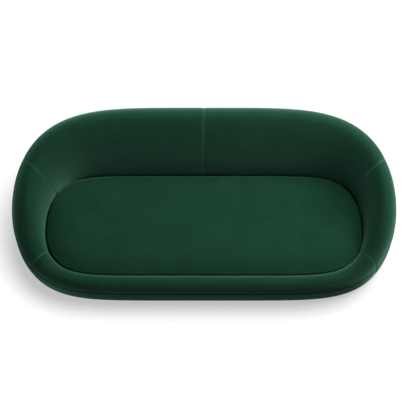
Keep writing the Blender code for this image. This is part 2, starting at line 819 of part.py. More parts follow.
def make_covers():
    covers = {"front_roll": RANGES["front"], "right_arm": RANGES["right"],
              "back_right": (BACK_SEAM, 0.5), "back_left": (0.5, 1 - BACK_SEAM),
              "left_arm": RANGES["left"]}
    for name, (start, end) in covers.items():
        rings = [[roll(place, share) for share in roll_shares(place)]
                 for place in stretch(start, end)]
        solidify(loft("cover_" + name, rings, "velvet", ring_closed=False), COVER_THICKNESS)
    skirts = {"skirt_front": (-FRONT_SEAM, FRONT_SEAM), "skirt_back": (FRONT_SEAM, 1 - FRONT_SEAM)}
    for name, (start, end) in skirts.items():
        rings = []
        for place in stretch(start, end):
            spot = section(place)
            edge = spot.width - SKIRT_TAPER
            ring = [spot.at(edge - FLANGE_WIDTH, FLOOR_GAP)]
            ring += [wall(place, share) for share in WALL_SHARES[:-1]]
            ring.append(wall_at(place, spot.piping - PIPING_RADIUS - TOUCH_GAP, 0.0))
            rings.append(ring)
        solidify(loft(name, rings, "velvet", ring_closed=False), COVER_THICKNESS)
    cord = bpy.data.curves.new("piping", "CURVE")
    cord.dimensions = "3D"
    cord.bevel_depth = PIPING_RADIUS
    cord.bevel_resolution = 1
    spline = cord.splines.new("POLY")
    spline.points.add(len(STATIONS) - 1)
    for point, place in zip(spline.points, STATIONS):
        spot = section(place)
        point.co = (*spot.at(spot.width + PIPING_PROUD, spot.piping), 1.0)
    spline.use_cyclic_u = True
    as_mesh(cord, "piping", Matrix.Identity(4), "piping")


def make_underside():
    outline = []
    for place in STATIONS:
        spot = section(place)
        outline.append(spot.at(spot.width - SKIRT_TAPER - FLANGE_WIDTH - COVER_THICKNESS, 0.0))
    holes = [circle(foot_centre(place), FOOT_RADIUS + SEAM_GAP, FOOT_SIDES)
             for place in foot_places()]
    top = BASE_UNDERSIDE - TOUCH_GAP
    sheet("dust_cover", [outline, *holes], top - DUST_THICKNESS, DUST_THICKNESS, "lining")
    names = ("front_centre", "front_right", "back_right", "back_centre", "back_left",
             "front_left")
    bore = SCREW_RADIUS + BORE_CLEARANCE
    well = SCREW_HEAD_RADIUS + 2 * BORE_CLEARANCE
    profile = [(FOOT_RADIUS, top), (FOOT_RADIUS, top / 2), (FOOT_RADIUS - FOOT_TAPER, 0.0),
               (well, 0.0), (well, COUNTERBORE_DEPTH), (bore, COUNTERBORE_DEPTH), (bore, top)]
    seat = COUNTERBORE_DEPTH - TOUCH_GAP
    tip = BASE_TOP + SCREW_GRIP
    head = [(0.0, tip + SCREW_TIP), (SCREW_RADIUS, tip), (SCREW_RADIUS, seat),
            (SCREW_HEAD_RADIUS, seat), (SCREW_HEAD_RADIUS, seat - SCREW_HEAD_HEIGHT),
            (0.0, seat - SCREW_HEAD_HEIGHT)]
    for name, place in zip(names, foot_places()):
        foot = turned("foot_" + name, profile, "foot_plastic", FOOT_SIDES)
        foot.location = foot_centre(place)
        screw = turned("foot_screw_" + name, head, "steel", HOLE_SIDES)
        screw.location = foot_centre(place)


# The loose cushion.

def cushion_rings(places, inward, lift, drop):
    """Rings from the underside to the crown. inward, lift and drop shrink the form."""
    low = DECK_TOP + TOUCH_GAP + lift
    edge = DECK_TOP + TOUCH_GAP + CUSHION_HEIGHT - drop
    big, small = CUSHION_TOP_RADIUS, CUSHION_FOOT_RADIUS
    corner = 1 - math.sqrt(0.5)
    profile = [(small, low), (small * corner, low + small * corner), (0.0, low + small),
               (CUSHION_DRAW_IN, (low + small + edge - big) / 2), (0.0, edge - big),
               (big * corner, edge - big * corner), (big, edge)]
    rings = []
    for run, height in profile:
        rings.append([section(place).at(-CUSHION_GAP - inward - run, height)
                      for place in places])
    half_depth = (PLAN.back - PLAN.front) / 2
    spine_y = (PLAN.back + PLAN.front) / 2
    spine_x = PLAN.seat.half_length - half_depth
    for share in CROWN_SHARES:
        ring = []
        for point in rings[6]:
            spine = Vector((min(max(point.x, -spine_x), spine_x), spine_y, point.z))
            moved = point.lerp(spine, share)
            moved.z = edge + CUSHION_CROWN * (1 - (1 - share) ** 2)
            ring.append(moved)
        rings.append(ring)
    return rings


def cushion_form(name, inward, lift, drop, look):
    places = all_round(CUSHION_STATION_COUNTS)
    rings = cushion_rings(places, inward, lift, drop)
    return loft(name, rings, look)


def make_cushion():
    cover = cushion_form("seat_cushion_cover", 0.0, 0.0, 0.0, "velvet")
    solidify(cover, COVER_THICKNESS)
    core = cushion_form("seat_cushion_foam", CORE_INSET, SKIN_INSET, CORE_INSET, "foam")
    low = DECK_TOP + TOUCH_GAP + CUSHION_FOOT_RADIUS
    high = DECK_TOP + TOUCH_GAP + CUSHION_HEIGHT - CUSHION_TOP_RADIUS
    height = (low + high) / 2
    face = PLAN.back - CUSHION_GAP - CUSHION_DRAW_IN
    slot = box("zip_slot", (2 * (ZIP_HALF_LENGTH + ZIP_END_CLEARANCE), 2 * CORE_INSET,
                            ZIP_SLOT_HEIGHT), (0.0, face, height))
    cut(cover, slot)
    coil = ZIP_SLOT_HEIGHT / 2 - TOUCH_GAP
    back = face - SKIN_INSET - ZIP_TAPE_THICKNESS
    front = face - SKIN_INSET
    tape = ZIP_TAPE_HEIGHT / 2
    proud = face + COIL_PROUD
    outline = [(back, -tape), (back, tape), (front, tape), (front, coil), (proud, coil),
               (proud, -coil), (front, -coil), (front, -tape)]
    rings = [[Vector((x, y, height + z)) for y, z in outline]
             for x in (-ZIP_HALF_LENGTH, ZIP_HALF_LENGTH)]
    tape_and_coil = loft("cushion_zip", rings, "zip")
    slider = box("zip_slider", (SLIDER_LENGTH, SLIDER_DEPTH, SLIDER_HEIGHT),
                 (ZIP_HALF_LENGTH - SLIDER_LENGTH, face + TOUCH_GAP + SLIDER_DEPTH / 2, height))
    cut(tape_and_coil, slider, "UNION")
    lift = bpy.data.objects.new("cushion_lift", None)
    collection("curved_sofa").objects.link(lift)
    lift.location = (0.0, (PLAN.front + PLAN.back) / 2, DECK_TOP)
    for piece in (cover, core, tape_and_coil):
        piece.parent = lift
        piece.matrix_parent_inverse = Matrix.Translation(lift.location).inverted()


def main():
    clear_scene()
    make_rings()
    make_ribs()
    make_bearers()
    make_skins()
    make_webbing()
    make_deck()
    make_foams()
    make_covers()
    make_underside()
    make_cushion()


main()
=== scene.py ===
"""Looks for a curved three-seat velvet sofa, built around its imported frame.

The tub is dressed in five velvet covers, two skirts and a piping cord, all drawn from
one plan: a superellipse outside, a squarer one round the seat well, and an upright
section that rises from the front roll to the back. The seat is a loose cushion.

+X is to the right as seen from the front, +Y to the back, the floor is z = 0, metres.
"""
import logging
import math
from dataclasses import dataclass, field
from enum import Enum
from typing import Any, Callable, ClassVar, Sequence

import bpy
import numpy as np
from bpy.types import Material, NodeSocket, NodeTree, Object
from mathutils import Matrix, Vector


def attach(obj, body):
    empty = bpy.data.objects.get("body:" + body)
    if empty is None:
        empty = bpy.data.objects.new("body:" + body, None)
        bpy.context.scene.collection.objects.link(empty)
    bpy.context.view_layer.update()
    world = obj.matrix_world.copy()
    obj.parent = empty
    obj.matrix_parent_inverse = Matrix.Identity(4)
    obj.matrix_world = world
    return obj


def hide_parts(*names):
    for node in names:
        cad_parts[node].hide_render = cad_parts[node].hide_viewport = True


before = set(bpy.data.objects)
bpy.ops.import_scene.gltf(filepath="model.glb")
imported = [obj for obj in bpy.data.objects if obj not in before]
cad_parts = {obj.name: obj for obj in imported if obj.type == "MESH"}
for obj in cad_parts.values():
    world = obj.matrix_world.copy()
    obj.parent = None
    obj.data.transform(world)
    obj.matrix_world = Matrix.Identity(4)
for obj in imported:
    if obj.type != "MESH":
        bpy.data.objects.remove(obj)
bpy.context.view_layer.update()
LOG = logging.getLogger("curved_sofa")
BODY_TUB = "sofa_body"
BODY_CUSHION = "seat_cushion"
STAPLE_SIZE = (0.010, 0.0012, 0.0006)
STAPLE_OUT = 0.0002
Grid = np.ndarray
Colour = tuple[float, float, float]
Shape = Callable[[Grid, Grid], Grid]
Path = tuple[Grid, Grid, bool]
Feeds = dict[str | int, Any]


# Shape of the tub

@dataclass(frozen=True)
class TubSizes:
    """Sizes of the tub, in metres, and shares of them, as the frame has them."""

    half_length: float = 1.093
    front_depth: float = 0.450
    back_depth: float = 0.577
    arm_width: float = 0.180
    front_roll_width: float = 0.0965
    back_width: float = 0.3425
    front_square_share: float = 0.677
    back_square_share: float = 0.560
    seat_square_share: float = 0.765
    seat_front_share: float = 0.427
    section_turn_share: float = 0.5
    turn_weight_share: float = 0.55
    front_seam_turn_share: float = -0.228
    back_seam_turn_share: float = 0.208
    floor_gap: float = 0.028
    front_piping: float = 0.3305
    piping_rise: float = 0.270
    front_roll_height: float = 0.100
    back_roll_height: float = 0.160
    skirt_taper: float = 0.012
    skirt_bulge: float = 0.012
    front_crest_share: float = 0.50
    back_crest_share: float = 0.74
    inside_lean_share: float = 0.30
    front_inside_power: float = 0.95
    lean_growth: float = 1.6
    flange_width: float = 0.030
    cover: float = 0.002
    touch: float = 0.0004
    piping_radius: float = 0.003
    piping_proud: float = 0.001
    ply: float = 0.018
    liner_foot: float = 0.0484
    liner_run: float = 0.0765
    ring_top: float = 0.280
    deck_top: float = 0.29119
    well_depth: float = 0.100

    @property
    def seat_line(self) -> float:
        """Height at which the inside of the roll turns upright."""
        return self.deck_top + self.well_depth


def lengths(line: Grid) -> Grid:
    """Distance from the start along a line of points, or along each column of a grid."""
    steps = np.linalg.norm(np.diff(line, axis=0), axis=-1)
    return np.concatenate([np.zeros_like(steps[:1]), np.cumsum(steps, axis=0)])


def plan_lengths(*lines: Grid) -> Grid:
    """Distance from the start along a line in plan, or along several lines together."""
    steps = sum(np.hypot(*np.diff(line, axis=0).T) for line in lines)
    return np.concatenate([[0.0], np.cumsum(steps)])


def unit(vectors: Grid) -> Grid:
    """The vectors, each brought to length 1."""
    return vectors / np.maximum(np.linalg.norm(vectors, axis=-1, keepdims=True), 1e-12)


def circle(count: int) -> Grid:
    """Even turns round a circle, in radians."""
    return np.arange(count) * 2 * math.pi / count


def squircle(count: int, power: float) -> zip:
    """Points round a circle of radius 1, squarer the further its power is under 1."""
    turns = circle(count)
    return zip(*(np.sign(wave) * abs(wave) ** power for wave in (np.cos(turns), np.sin(turns))))


class Outline:
    """A superellipse whose front and back halves may differ."""

    def __init__(self, half_length: float, middle: float, depths: tuple[float, float],
                 shares: tuple[float, float]) -> None:
        """Keeps the sizes.

        Args:
            half_length: Half the length along X.
            middle: The y of the widest line.
            depths: Reach in front of that line and behind it.
            shares: 0 for an ellipse to 1 for a rectangle, front and back.
        """
        self.half_length = half_length
        self.middle = middle
        self.depths = depths
        self.powers = tuple(2 / (1 - share) for share in shares)

    def _half(self, front: Grid) -> tuple[Grid, Grid]:
        """The depth and power that hold at each point, front ones where front is true."""
        return (np.where(front, *self.depths), np.where(front, *self.powers))

    def points(self, turns: Grid) -> Grid:
        """Points at these turns, from -90 degrees at the front to 90 at the back.

        Args:
            turns: In radians.

        Returns:
            Point rows of x, y.
        """
        depth, power = self._half(turns < 0)
        across = np.maximum(np.cos(turns), 0.0) ** (2 / power)
        return np.stack([self.half_length * across, self.middle + depth * np.sin(turns)], -1)

    def normals(self, points: Grid) -> Grid:
        """Outward directions at points on the outline.

        Args:
            points: Point rows of x, y.

        Returns:
            A direction for each.
        """
        depth, power = self._half(points[..., 1] < self.middle)
        along = np.abs(points[..., 0]) / self.half_length
        slope = np.stack([power * along ** (power - 1) / self.half_length,
                          2 * (points[..., 1] - self.middle) / depth ** 2], -1)
        return unit(slope)

    def level(self, points: Grid) -> Grid:
        """Below 0 inside the outline, above 0 outside it.

        Args:
            points: Point rows of x, y.

        Returns:
            A level for each.
        """
        depth, power = self._half(points[..., 1] < self.middle)
        along = np.abs(points[..., 0]) / self.half_length
        return along ** power + ((points[..., 1] - self.middle) / depth) ** 2 - 1

    def evenly(self, count: int) -> Grid:
        """Points at even spacing from the front centre to the back centre.

        Args:
            count: How many spaces.

        Returns:
            Point rows of x, y.
        """
        turns = np.linspace(-math.pi / 2, math.pi / 2, 4 * count + 1)
        points = self.points(turns)
        run = plan_lengths(points)
        even = np.linspace(0.0, run[-1], count + 1)
        return np.stack([np.interp(even, run, points[:, k]) for k in (0, 1)], -1)

    def reach(self, starts: Grid, directions: Grid) -> Grid:
        """Where lines from inner points meet the outline.

        Args:
            starts: The inner points.
            directions: A direction for each.

        Returns:
            A point on the outline for each.
        """
        low = np.zeros(len(starts))
        high = np.full(len(starts), self.half_length)
        for _ in range(48):
            middle = (low + high) / 2
            inside = self.level(starts + directions * middle[:, None]) < 0
            low, high = np.where(inside, middle, low), np.where(inside, high, middle)
        return starts + directions * low[:, None]


def smooth(share: Grid) -> Grid:
    """A soft step from 0 to 1."""
    share = np.clip(share, 0.0, 1.0)
    return share * share * (3 - 2 * share)


class Tub:
    """Surfaces of the tub by place, a share of the way round, and share of the profile.

    Place 0 is the front centre, a quarter or so the right arm, 0.5 the back centre.
    """

    SAMPLES = 2000
    STEP = 0.0005

    def __init__(self, sizes: TubSizes) -> None:
        """Pairs each point of the seat well with one on the outside.

        Args:
            sizes: Its sizes.
        """
        self.sizes = z = sizes
        middle = (z.front_depth - z.back_depth) / 2
        self.outer = Outline(z.half_length, middle, (z.front_depth, z.back_depth),
                             (z.front_square_share, z.back_square_share))
        self.front = middle - z.front_depth + z.front_roll_width
        self.back = middle + z.back_depth - z.back_width
        depth = self.back - self.front
        seat_middle = self.front + z.seat_front_share * depth
        self.seat = Outline(z.half_length - z.arm_width, seat_middle,
                            (z.seat_front_share * depth, (1 - z.seat_front_share) * depth),
                            (z.seat_square_share, z.seat_square_share))
        wells = self.seat.evenly(self.SAMPLES)
        rim = self.outer.evenly(4 * self.SAMPLES)
        nearest = np.array([np.argmin(((rim - well) ** 2).sum(1)) for well in wells])
        square, own = self.outer.normals(rim[nearest]), self.seat.normals(wells)
        blend = smooth((wells[:, 1] - seat_middle)
                       / (z.section_turn_share * (self.back - seat_middle)))
        turns = ((1 - blend) * np.arctan2(square[:, 1], square[:, 0])
                 + blend * np.arctan2(own[:, 1], own[:, 0]))
        outs = self.outer.reach(wells, np.stack([np.cos(turns), np.sin(turns)], -1))
        outs[0, 0] = outs[-1, 0] = 0.0
        length = plan_lengths(wells, outs)
        swing = (turns - turns[0]) / (turns[-1] - turns[0])
        self.turns = turns
        self.places = 0.5 * ((1 - z.turn_weight_share) * length / length[-1]
                             + z.turn_weight_share * swing)
        self.table = np.concatenate([wells, outs], axis=1)
        self.front_seam = self.place_at_turn(z.front_seam_turn_share)
        self.back_seam = self.place_at_turn(z.back_seam_turn_share)

    def place_at_turn(self, share: float) -> float:
        """The place whose section points this share of a half turn round."""
        return float(np.interp(share * math.pi, self.turns, self.places))

    def place_at_x(self, x: float, back: bool) -> float:
        """The place on the front or back run of the well line at this x.

        Args:
            x: From 0 to the widest line.
            back: Whether on the back run.

        Returns:
            The place.
        """
        values = self.table[:, 0]
        widest = int(np.argmax(values))
        if back:
            return float(np.interp(x, values[widest:][::-1], self.places[widest:][::-1]))
        return float(np.interp(x, values[:widest], self.places[:widest]))

    def cut(self, places: Grid) -> dict[str, Grid]:
        """The upright section at each place: its well point, direction and heights.

        Args:
            places: Shares of the way round.

        Returns:
            Points, directions and sizes of the section by name.
        """
        z = self.sizes
        places = np.mod(places, 1.0)
        half = np.minimum(places, 1 - places)
        values = [np.interp(half, self.places, self.table[:, k]) for k in range(4)]
        side = np.where(places <= 0.5, 1.0, -1.0)
        well = np.stack([side * values[0], values[1]], -1)
        out = np.stack([side * values[2], values[3]], -1)
        width = np.linalg.norm(out - well, axis=-1)
        rise = smooth((well[..., 1] - self.front) / (self.back - self.front))
        piping = z.front_piping + z.piping_rise * rise
        height = z.front_roll_height + (z.back_roll_height - z.front_roll_height) * rise
        crest_share = (z.front_crest_share
                       + (z.back_crest_share - z.front_crest_share) * rise ** 2)
        return {"well": well, "direction": (out - well) / width[..., None], "width": width,
                "rise": rise, "piping": piping, "crest": piping + height,
                "crest_run": width * crest_share, "liner_top": z.liner_foot + z.liner_run * rise}

    def at(self, places: Grid, run: Grid | float, height: Grid | float,
           cut: dict[str, Grid] | None = None) -> Grid:
        """Points this far out from the well line, at these heights.

        Args:
            places: Shares of the way round.
            run: Distances out.
            height: Heights.
            cut: The sections there, if known.

        Returns:
            Point rows of x, y, z.
        """
        cut = cut or self.cut(places)
        run, height, _ = np.broadcast_arrays(run, height, places)
        flat = cut["well"] + cut["direction"] * run[..., None]
        return np.concatenate([flat, height[..., None]], -1)

    def round_way(self, count: int) -> Grid:
        """Places at even spacing along the well line, from the front centre to the right.

        Args:
            count: How many.

        Returns:
            The places.
        """
        places = np.linspace(0, 1, 2 * self.SAMPLES)
        run = plan_lengths(self.cut(places)["well"])
        return np.interp(np.linspace(0, run[-1], count, endpoint=False), run, places)

    def level_line(self, count: int, run: float, height: float, from_skirt: bool = False) -> Grid:
        """Points round the tub at one height, this far out from the well line or skirt hem.

        Args:
            count: How many.
            run: Distance out.
            height: Their height.
            from_skirt: Whether it is counted from the hem.

        Returns:
            Point rows of x, y, z.
        """
        places = self.round_way(count)
        cut = self.cut(places)
        start = cut["width"] - self.sizes.skirt_taper if from_skirt else 0.0
        return self.at(places, start + run, height, cut)

    def well_y(self, x: float, back: bool) -> float:
        """The y of the well line's front or back run at this x."""
        return float(self.cut(np.array([self.place_at_x(abs(x), back)]))["well"][0, 1])

    def well_x(self, y: float) -> float:
        """The x of the well line's right side at this y."""
        return float(np.interp(y, self.table[:, 1], self.table[:, 0]))

    def wall(self, places: Grid, shares: Grid) -> Grid:
        """The outside of the skirt, from the floor edge (0) to the piping line (1).

        Args:
            places: Shares of the way round.
            shares: Shares of the way up.

        Returns:
            Points on it.
        """
        z, cut = self.sizes, self.cut(places)
        run = (cut["width"] - z.skirt_taper * (1 - shares)
               + z.skirt_bulge * np.sin(math.pi * np.clip(shares, 0.0, 1.0)))
        return self.at(places, run, z.floor_gap + (cut["piping"] - z.floor_gap) * shares, cut)

    def roll(self, places: Grid, shares: Grid) -> Grid:
        """The outside of the roll: shoulder 0 to 1, inside 1 to 2, well side 2 to 3.

        Args:
            places: Shares of the way round.
            shares: Shares of the profile.

        Returns:
            Points on it.
        """
        z, cut = self.sizes, self.cut(places)
        crest, run = cut["crest"], cut["crest_run"]
        turn = np.clip(shares, 0.0, 1.0) * math.pi / 2
        shoulder = (run + (cut["width"] - run) * np.cos(turn),
                    cut["piping"] + (crest - cut["piping"]) * np.sin(turn))
        turn = np.clip(shares - 1, 0.0, 1.0) * math.pi / 2
        power = z.front_inside_power + ((1 + z.inside_lean_share - z.front_inside_power)
                                        * cut["rise"] ** z.lean_growth)
        inside = (run * (1 - np.maximum(np.sin(turn), 0.0) ** power),
                  z.seat_line + (crest - z.seat_line) * np.maximum(np.cos(turn), 0.0) ** power)
        low = z.deck_top + z.touch
        side = (np.zeros_like(run), z.seat_line + (low - z.seat_line) * (shares - 2))
        first, last = shares <= 1, shares > 2
        run, height = (np.where(first, a, np.where(last, c, b))
                       for a, b, c in zip(shoulder, inside, side))
        return self.at(places, run, height, cut)

    def normals(self, surface: Shape, places: Grid, shares: Grid, last: float) -> Grid:
        """Outward directions of a surface.

        Args:
            surface: The surface, from place and share.
            places: Shares of the way round.
            shares: Shares of the profile.
            last: The largest share it has.

        Returns:
            A direction for each.
        """
        low = np.maximum(shares - self.STEP, 0.0)
        high = np.minimum(shares + self.STEP, last)
        round_way = surface(places + self.STEP, shares) - surface(places - self.STEP, shares)
        normal = np.cross(round_way, surface(places, high) - surface(places, low))
        return unit(normal)

    def pace(self, surface: Shape, place: float, shares: Grid) -> Grid:
        """Metres travelled per unit of place, at each share of one place.

        Args:
            surface: The surface, from place and share.
            place: The place.
            shares: Shares of the profile.

        Returns:
            A pace for each share.
        """
        places = np.full_like(shares, place)
        step = surface(places + self.STEP, shares) - surface(places - self.STEP, shares)
        return np.linalg.norm(step, axis=-1) / (2 * self.STEP)


# Meshes

def placed(name: str, data: bpy.types.ID) -> Object:
    """A new object at the origin, linked to the scene."""
    bpy.context.scene.collection.objects.link(made := bpy.data.objects.new(name, data))
    return made


class Build:
    """Turns grids of points into mesh objects."""

    @staticmethod
    def obj(name: str, points: Grid, faces: Sequence[Sequence[int]], smooth_angle: float = 50.0
            ) -> Object:
        """A smooth-shaded mesh object at the origin.

        Args:
            name: Its name.
            points: Point rows of x, y, z.
            faces: Point indices of each face.
            smooth_angle: Edges sharper than this, in degrees, stay sharp.

        Returns:
            The new object, linked to the scene.
        """
        mesh = bpy.data.meshes.new(name)
        mesh.from_pydata(points.reshape(-1, 3).tolist(), [], faces)
        mesh.update()
        mesh.shade_smooth()
        mesh.set_sharp_from_angle(angle=math.radians(smooth_angle))
        return placed(name, mesh)

    @staticmethod
    def outward(points: Grid, quads: Grid, caps: Sequence[Sequence[int]] = ()) -> list[list[int]]:
        """The faces of a closed body, turned to point outward.

        Args:
            points: Its points.
            quads: Its four-sided faces.
            caps: Its other faces.

        Returns:
            Point indices of each face.
        """
        a, b, c, d = (points[quads[:, k]] for k in range(4))
        volume = (np.einsum("ij,ij->i", a, np.cross(b, c)).sum()
                  + np.einsum("ij,ij->i", a, np.cross(c, d)).sum())
        for cap in caps:
            ring = points[list(cap)]
            volume += np.cross(ring[1:-1], ring[2:]).dot(ring[0]).sum()
        faces = quads.tolist() + [list(cap) for cap in caps]
        return faces if volume > 0 else [face[::-1] for face in faces]

    @staticmethod
    def quads(rows: int, columns: int, wrap: bool = False, start: int = 0,
              flip: bool = False) -> Grid:
        """Faces of a grid whose points run along each row, then row by row.

        Args:
            rows: Rows of points.
            columns: Points in each row.
            wrap: Whether the last column joins the first.
            start: Index of the first point.
            flip: Whether the faces are turned over.

        Returns:
            Four point indices for each face.
        """
        i, j = np.meshgrid(np.arange(rows - 1), np.arange(columns if wrap else columns - 1),
                           indexing="ij")
        here, there = i * columns + j, i * columns + (j + 1) % columns
        faces = np.stack([here, there, there + columns, here + columns], -1).reshape(-1, 4)
        return (faces[:, ::-1] if flip else faces) + start

    @classmethod
    def shell(cls, name: str, outside: Grid, inside: Grid, wrap: bool = False) -> Object:
        """A closed shell between two grids of the same shape.

        Args:
            name: Its name.
            outside: Grid of rows by columns by 3.
            inside: The grid behind it.
            wrap: Whether the last column joins the first.

        Returns:
            The new object.
        """
        rows, columns = outside.shape[:2]
        count = rows * columns
        faces = [cls.quads(rows, columns, wrap), cls.quads(rows, columns, wrap, count, True)]
        line = np.append(np.arange(columns), 0) if wrap else np.arange(columns)
        edges = [(line, False), (line + (rows - 1) * columns, True)]
        if not wrap:
            side = np.arange(rows) * columns
            edges += [(side, True), (side + columns - 1, False)]
        for line, turned in edges:
            face = np.stack([line[:-1], line[:-1] + count, line[1:] + count, line[1:]], -1)
            faces.append(face[:, ::-1] if turned else face)
        points = np.concatenate([outside.reshape(-1, 3), inside.reshape(-1, 3)])
        return cls.obj(name, points, cls.outward(points, np.concatenate(faces)))

    @classmethod
    def slab(cls, name: str, grid: Grid, outside: Grid | float, inside: Grid | float,
             wrap: bool = False) -> Object:
        """A shell over a flat grid, between two heights or grids of heights.

        Args:
            name: Its name.
            grid: Rows by columns by 3; its z is left out.
            outside: Height of the outer face.
            inside: Height of the face behind it.
            wrap: Whether the last column joins the first.

        Returns:
            The new object.
        """
        faces = [np.dstack([grid[..., :2], np.broadcast_to(height, grid.shape[:2])])
                 for height in (outside, inside)]
        return cls.shell(name, *faces, wrap)

    @classmethod
    def lofts(cls, name: str, bodies: Sequence[Grid], round_closed: bool = False) -> Object:
        """One mesh of closed bodies through closed rings.

        Args:
            name: Its name.
            bodies: Rings by points by 3, for each body.
            round_closed: Whether the last ring joins the first; the ends are capped if not.

        Returns:
            The new object.
        """
        points, faces, start = [], [], 0
        for rings in bodies:
            count, across = rings.shape[:2]
            if round_closed:
                quads, caps = cls.quads(count + 1, across, True) % (count * across), []
            else:
                quads = cls.quads(count, across, True)
                caps = [list(range(across))[::-1],
                        [(count - 1) * across + k for k in range(across)]]
            flat = rings.reshape(-1, 3)
            faces += [[i + start for i in face] for face in cls.outward(flat, quads, caps)]
            points.append(flat)
            start += len(flat)
        return cls.obj(name, np.concatenate(points), faces)

    @staticmethod
    def mark(piece: Object, name: str, values: Grid) -> None:
        """Stores a vector on each point of a piece, for its material or its copies."""
        layer = piece.data.attributes.new(name, "FLOAT_VECTOR", "POINT")
        layer.data.foreach_set("vector", values.reshape(-1).astype(np.float32))

    @staticmethod
    def baked(piece: Object) -> Object:
        """The piece with its modifiers turned into plain mesh.

        Args:
            piece: The object.

        Returns:
            The same object.
        """
        graph = bpy.context.evaluated_depsgraph_get()
        graph.update()
        mesh = bpy.data.meshes.new_from_object(piece.evaluated_get(graph))
        piece.modifiers.clear()
        piece.data = mesh
        return piece

    @classmethod
    def bar(cls, name: str, length: float, width: float, height: float, across: bool = False
            ) -> Object:
        """A small rounded bar about the origin, along X or, if across, along Y.

        Args:
            name: Its name.
            length: Its length.
            width: Its width.
            height: Its height.
            across: Whether it lies along Y.

        Returns:
            The new object.
        """
        turns = circle(6) + math.pi / 6
        rings = np.array([[(length / 2 * x, width / 2 * swell * math.cos(t),
                            height / 2 * swell * math.sin(t)) for t in turns]
                          for x, swell in ((-1, 0.5), (-0.78, 1), (0.78, 1), (1, 0.5))])
        return cls.lofts(name, [rings[..., [1, 0, 2]] if across else rings])

    @staticmethod
    def turned(profile: Sequence[tuple[float, float]], centre: Grid, sides: int = 48) -> Grid:
        """Rings of a closed profile of (radius, height) points, turned round an axis.

        Args:
            profile: The closed profile.
            centre: The axis, as x and y.
            sides: Rings round it.

        Returns:
            Rings by points by 3.
        """
        turns, shape = circle(sides), np.array(profile)
        return np.stack([np.outer(np.cos(turns), shape[:, 0]) + centre[0],
                         np.outer(np.sin(turns), shape[:, 0]) + centre[1],
                         np.tile(shape[:, 1], (sides, 1))], -1)


def fill_rim(rim: Grid, long_cells: int, short_cells: int) -> Grid:
    """Fills a closed rim with a grid whose edges are the rim's own points.

    Args:
        rim: Points round the panel, from the front centre to the right.
        long_cells: Cells from left to right.
        short_cells: Cells from front to back.

    Returns:
        Grid of rows from front to back by columns from left to right.
    """
    nx, ny = long_cells, short_cells
    rim = np.roll(rim, nx // 2, axis=0)
    front, right = rim[:nx + 1], rim[nx:nx + ny + 1]
    back = rim[nx + ny:2 * nx + ny + 1][::-1]
    left = np.concatenate([rim[2 * nx + ny:], rim[:1]])[::-1]
    u, v = np.linspace(0, 1, nx + 1)[None, :, None], np.linspace(0, 1, ny + 1)[:, None, None]
    grid = (1 - v) * front[None] + v * back[None] + (1 - u) * left[:, None] + u * right[:, None]
    return grid - ((1 - u) * (1 - v) * front[0] + u * (1 - v) * front[-1]
                   + (1 - u) * v * back[0] + u * v * back[-1])


def rim_index(long_cells: int, short_cells: int) -> Grid:
    """Where the rim's points lie in the flattened grid of fill_rim.

    Args:
        long_cells: Cells from left to right.
        short_cells: Cells from front to back.

    Returns:
        Point indices round the rim.
    """
    grid = np.arange((long_cells + 1) * (short_cells + 1)).reshape(short_cells + 1, -1)
    half = long_cells // 2
    return np.concatenate([grid[0, half:], grid[1:, -1], grid[-1, -2::-1], grid[-2:0:-1, 0],
                           grid[0, :half]])


def add_node(tree: NodeTree, kind: str, settings: dict[str, Any], inputs: Feeds) -> bpy.types.Node:
    """Adds a node to a tree.

    Args:
        tree: The tree.
        kind: The node's type name.
        settings: Its properties, set first.
        inputs: Values or links for its sockets, by name or number.

    Returns:
        The node.
    """
    made = tree.nodes.new(kind)
    for key, value in settings.items():
        setattr(made, key, value)
    for key, value in inputs.items():
        socket, value = made.inputs[key], getattr(value, "socket", value)
        if isinstance(value, NodeSocket):
            tree.links.new(value, socket)
        elif socket.type == "RGBA":
            socket.default_value = (*value[:3], 1.0)
        else:
            socket.default_value = value
    return made


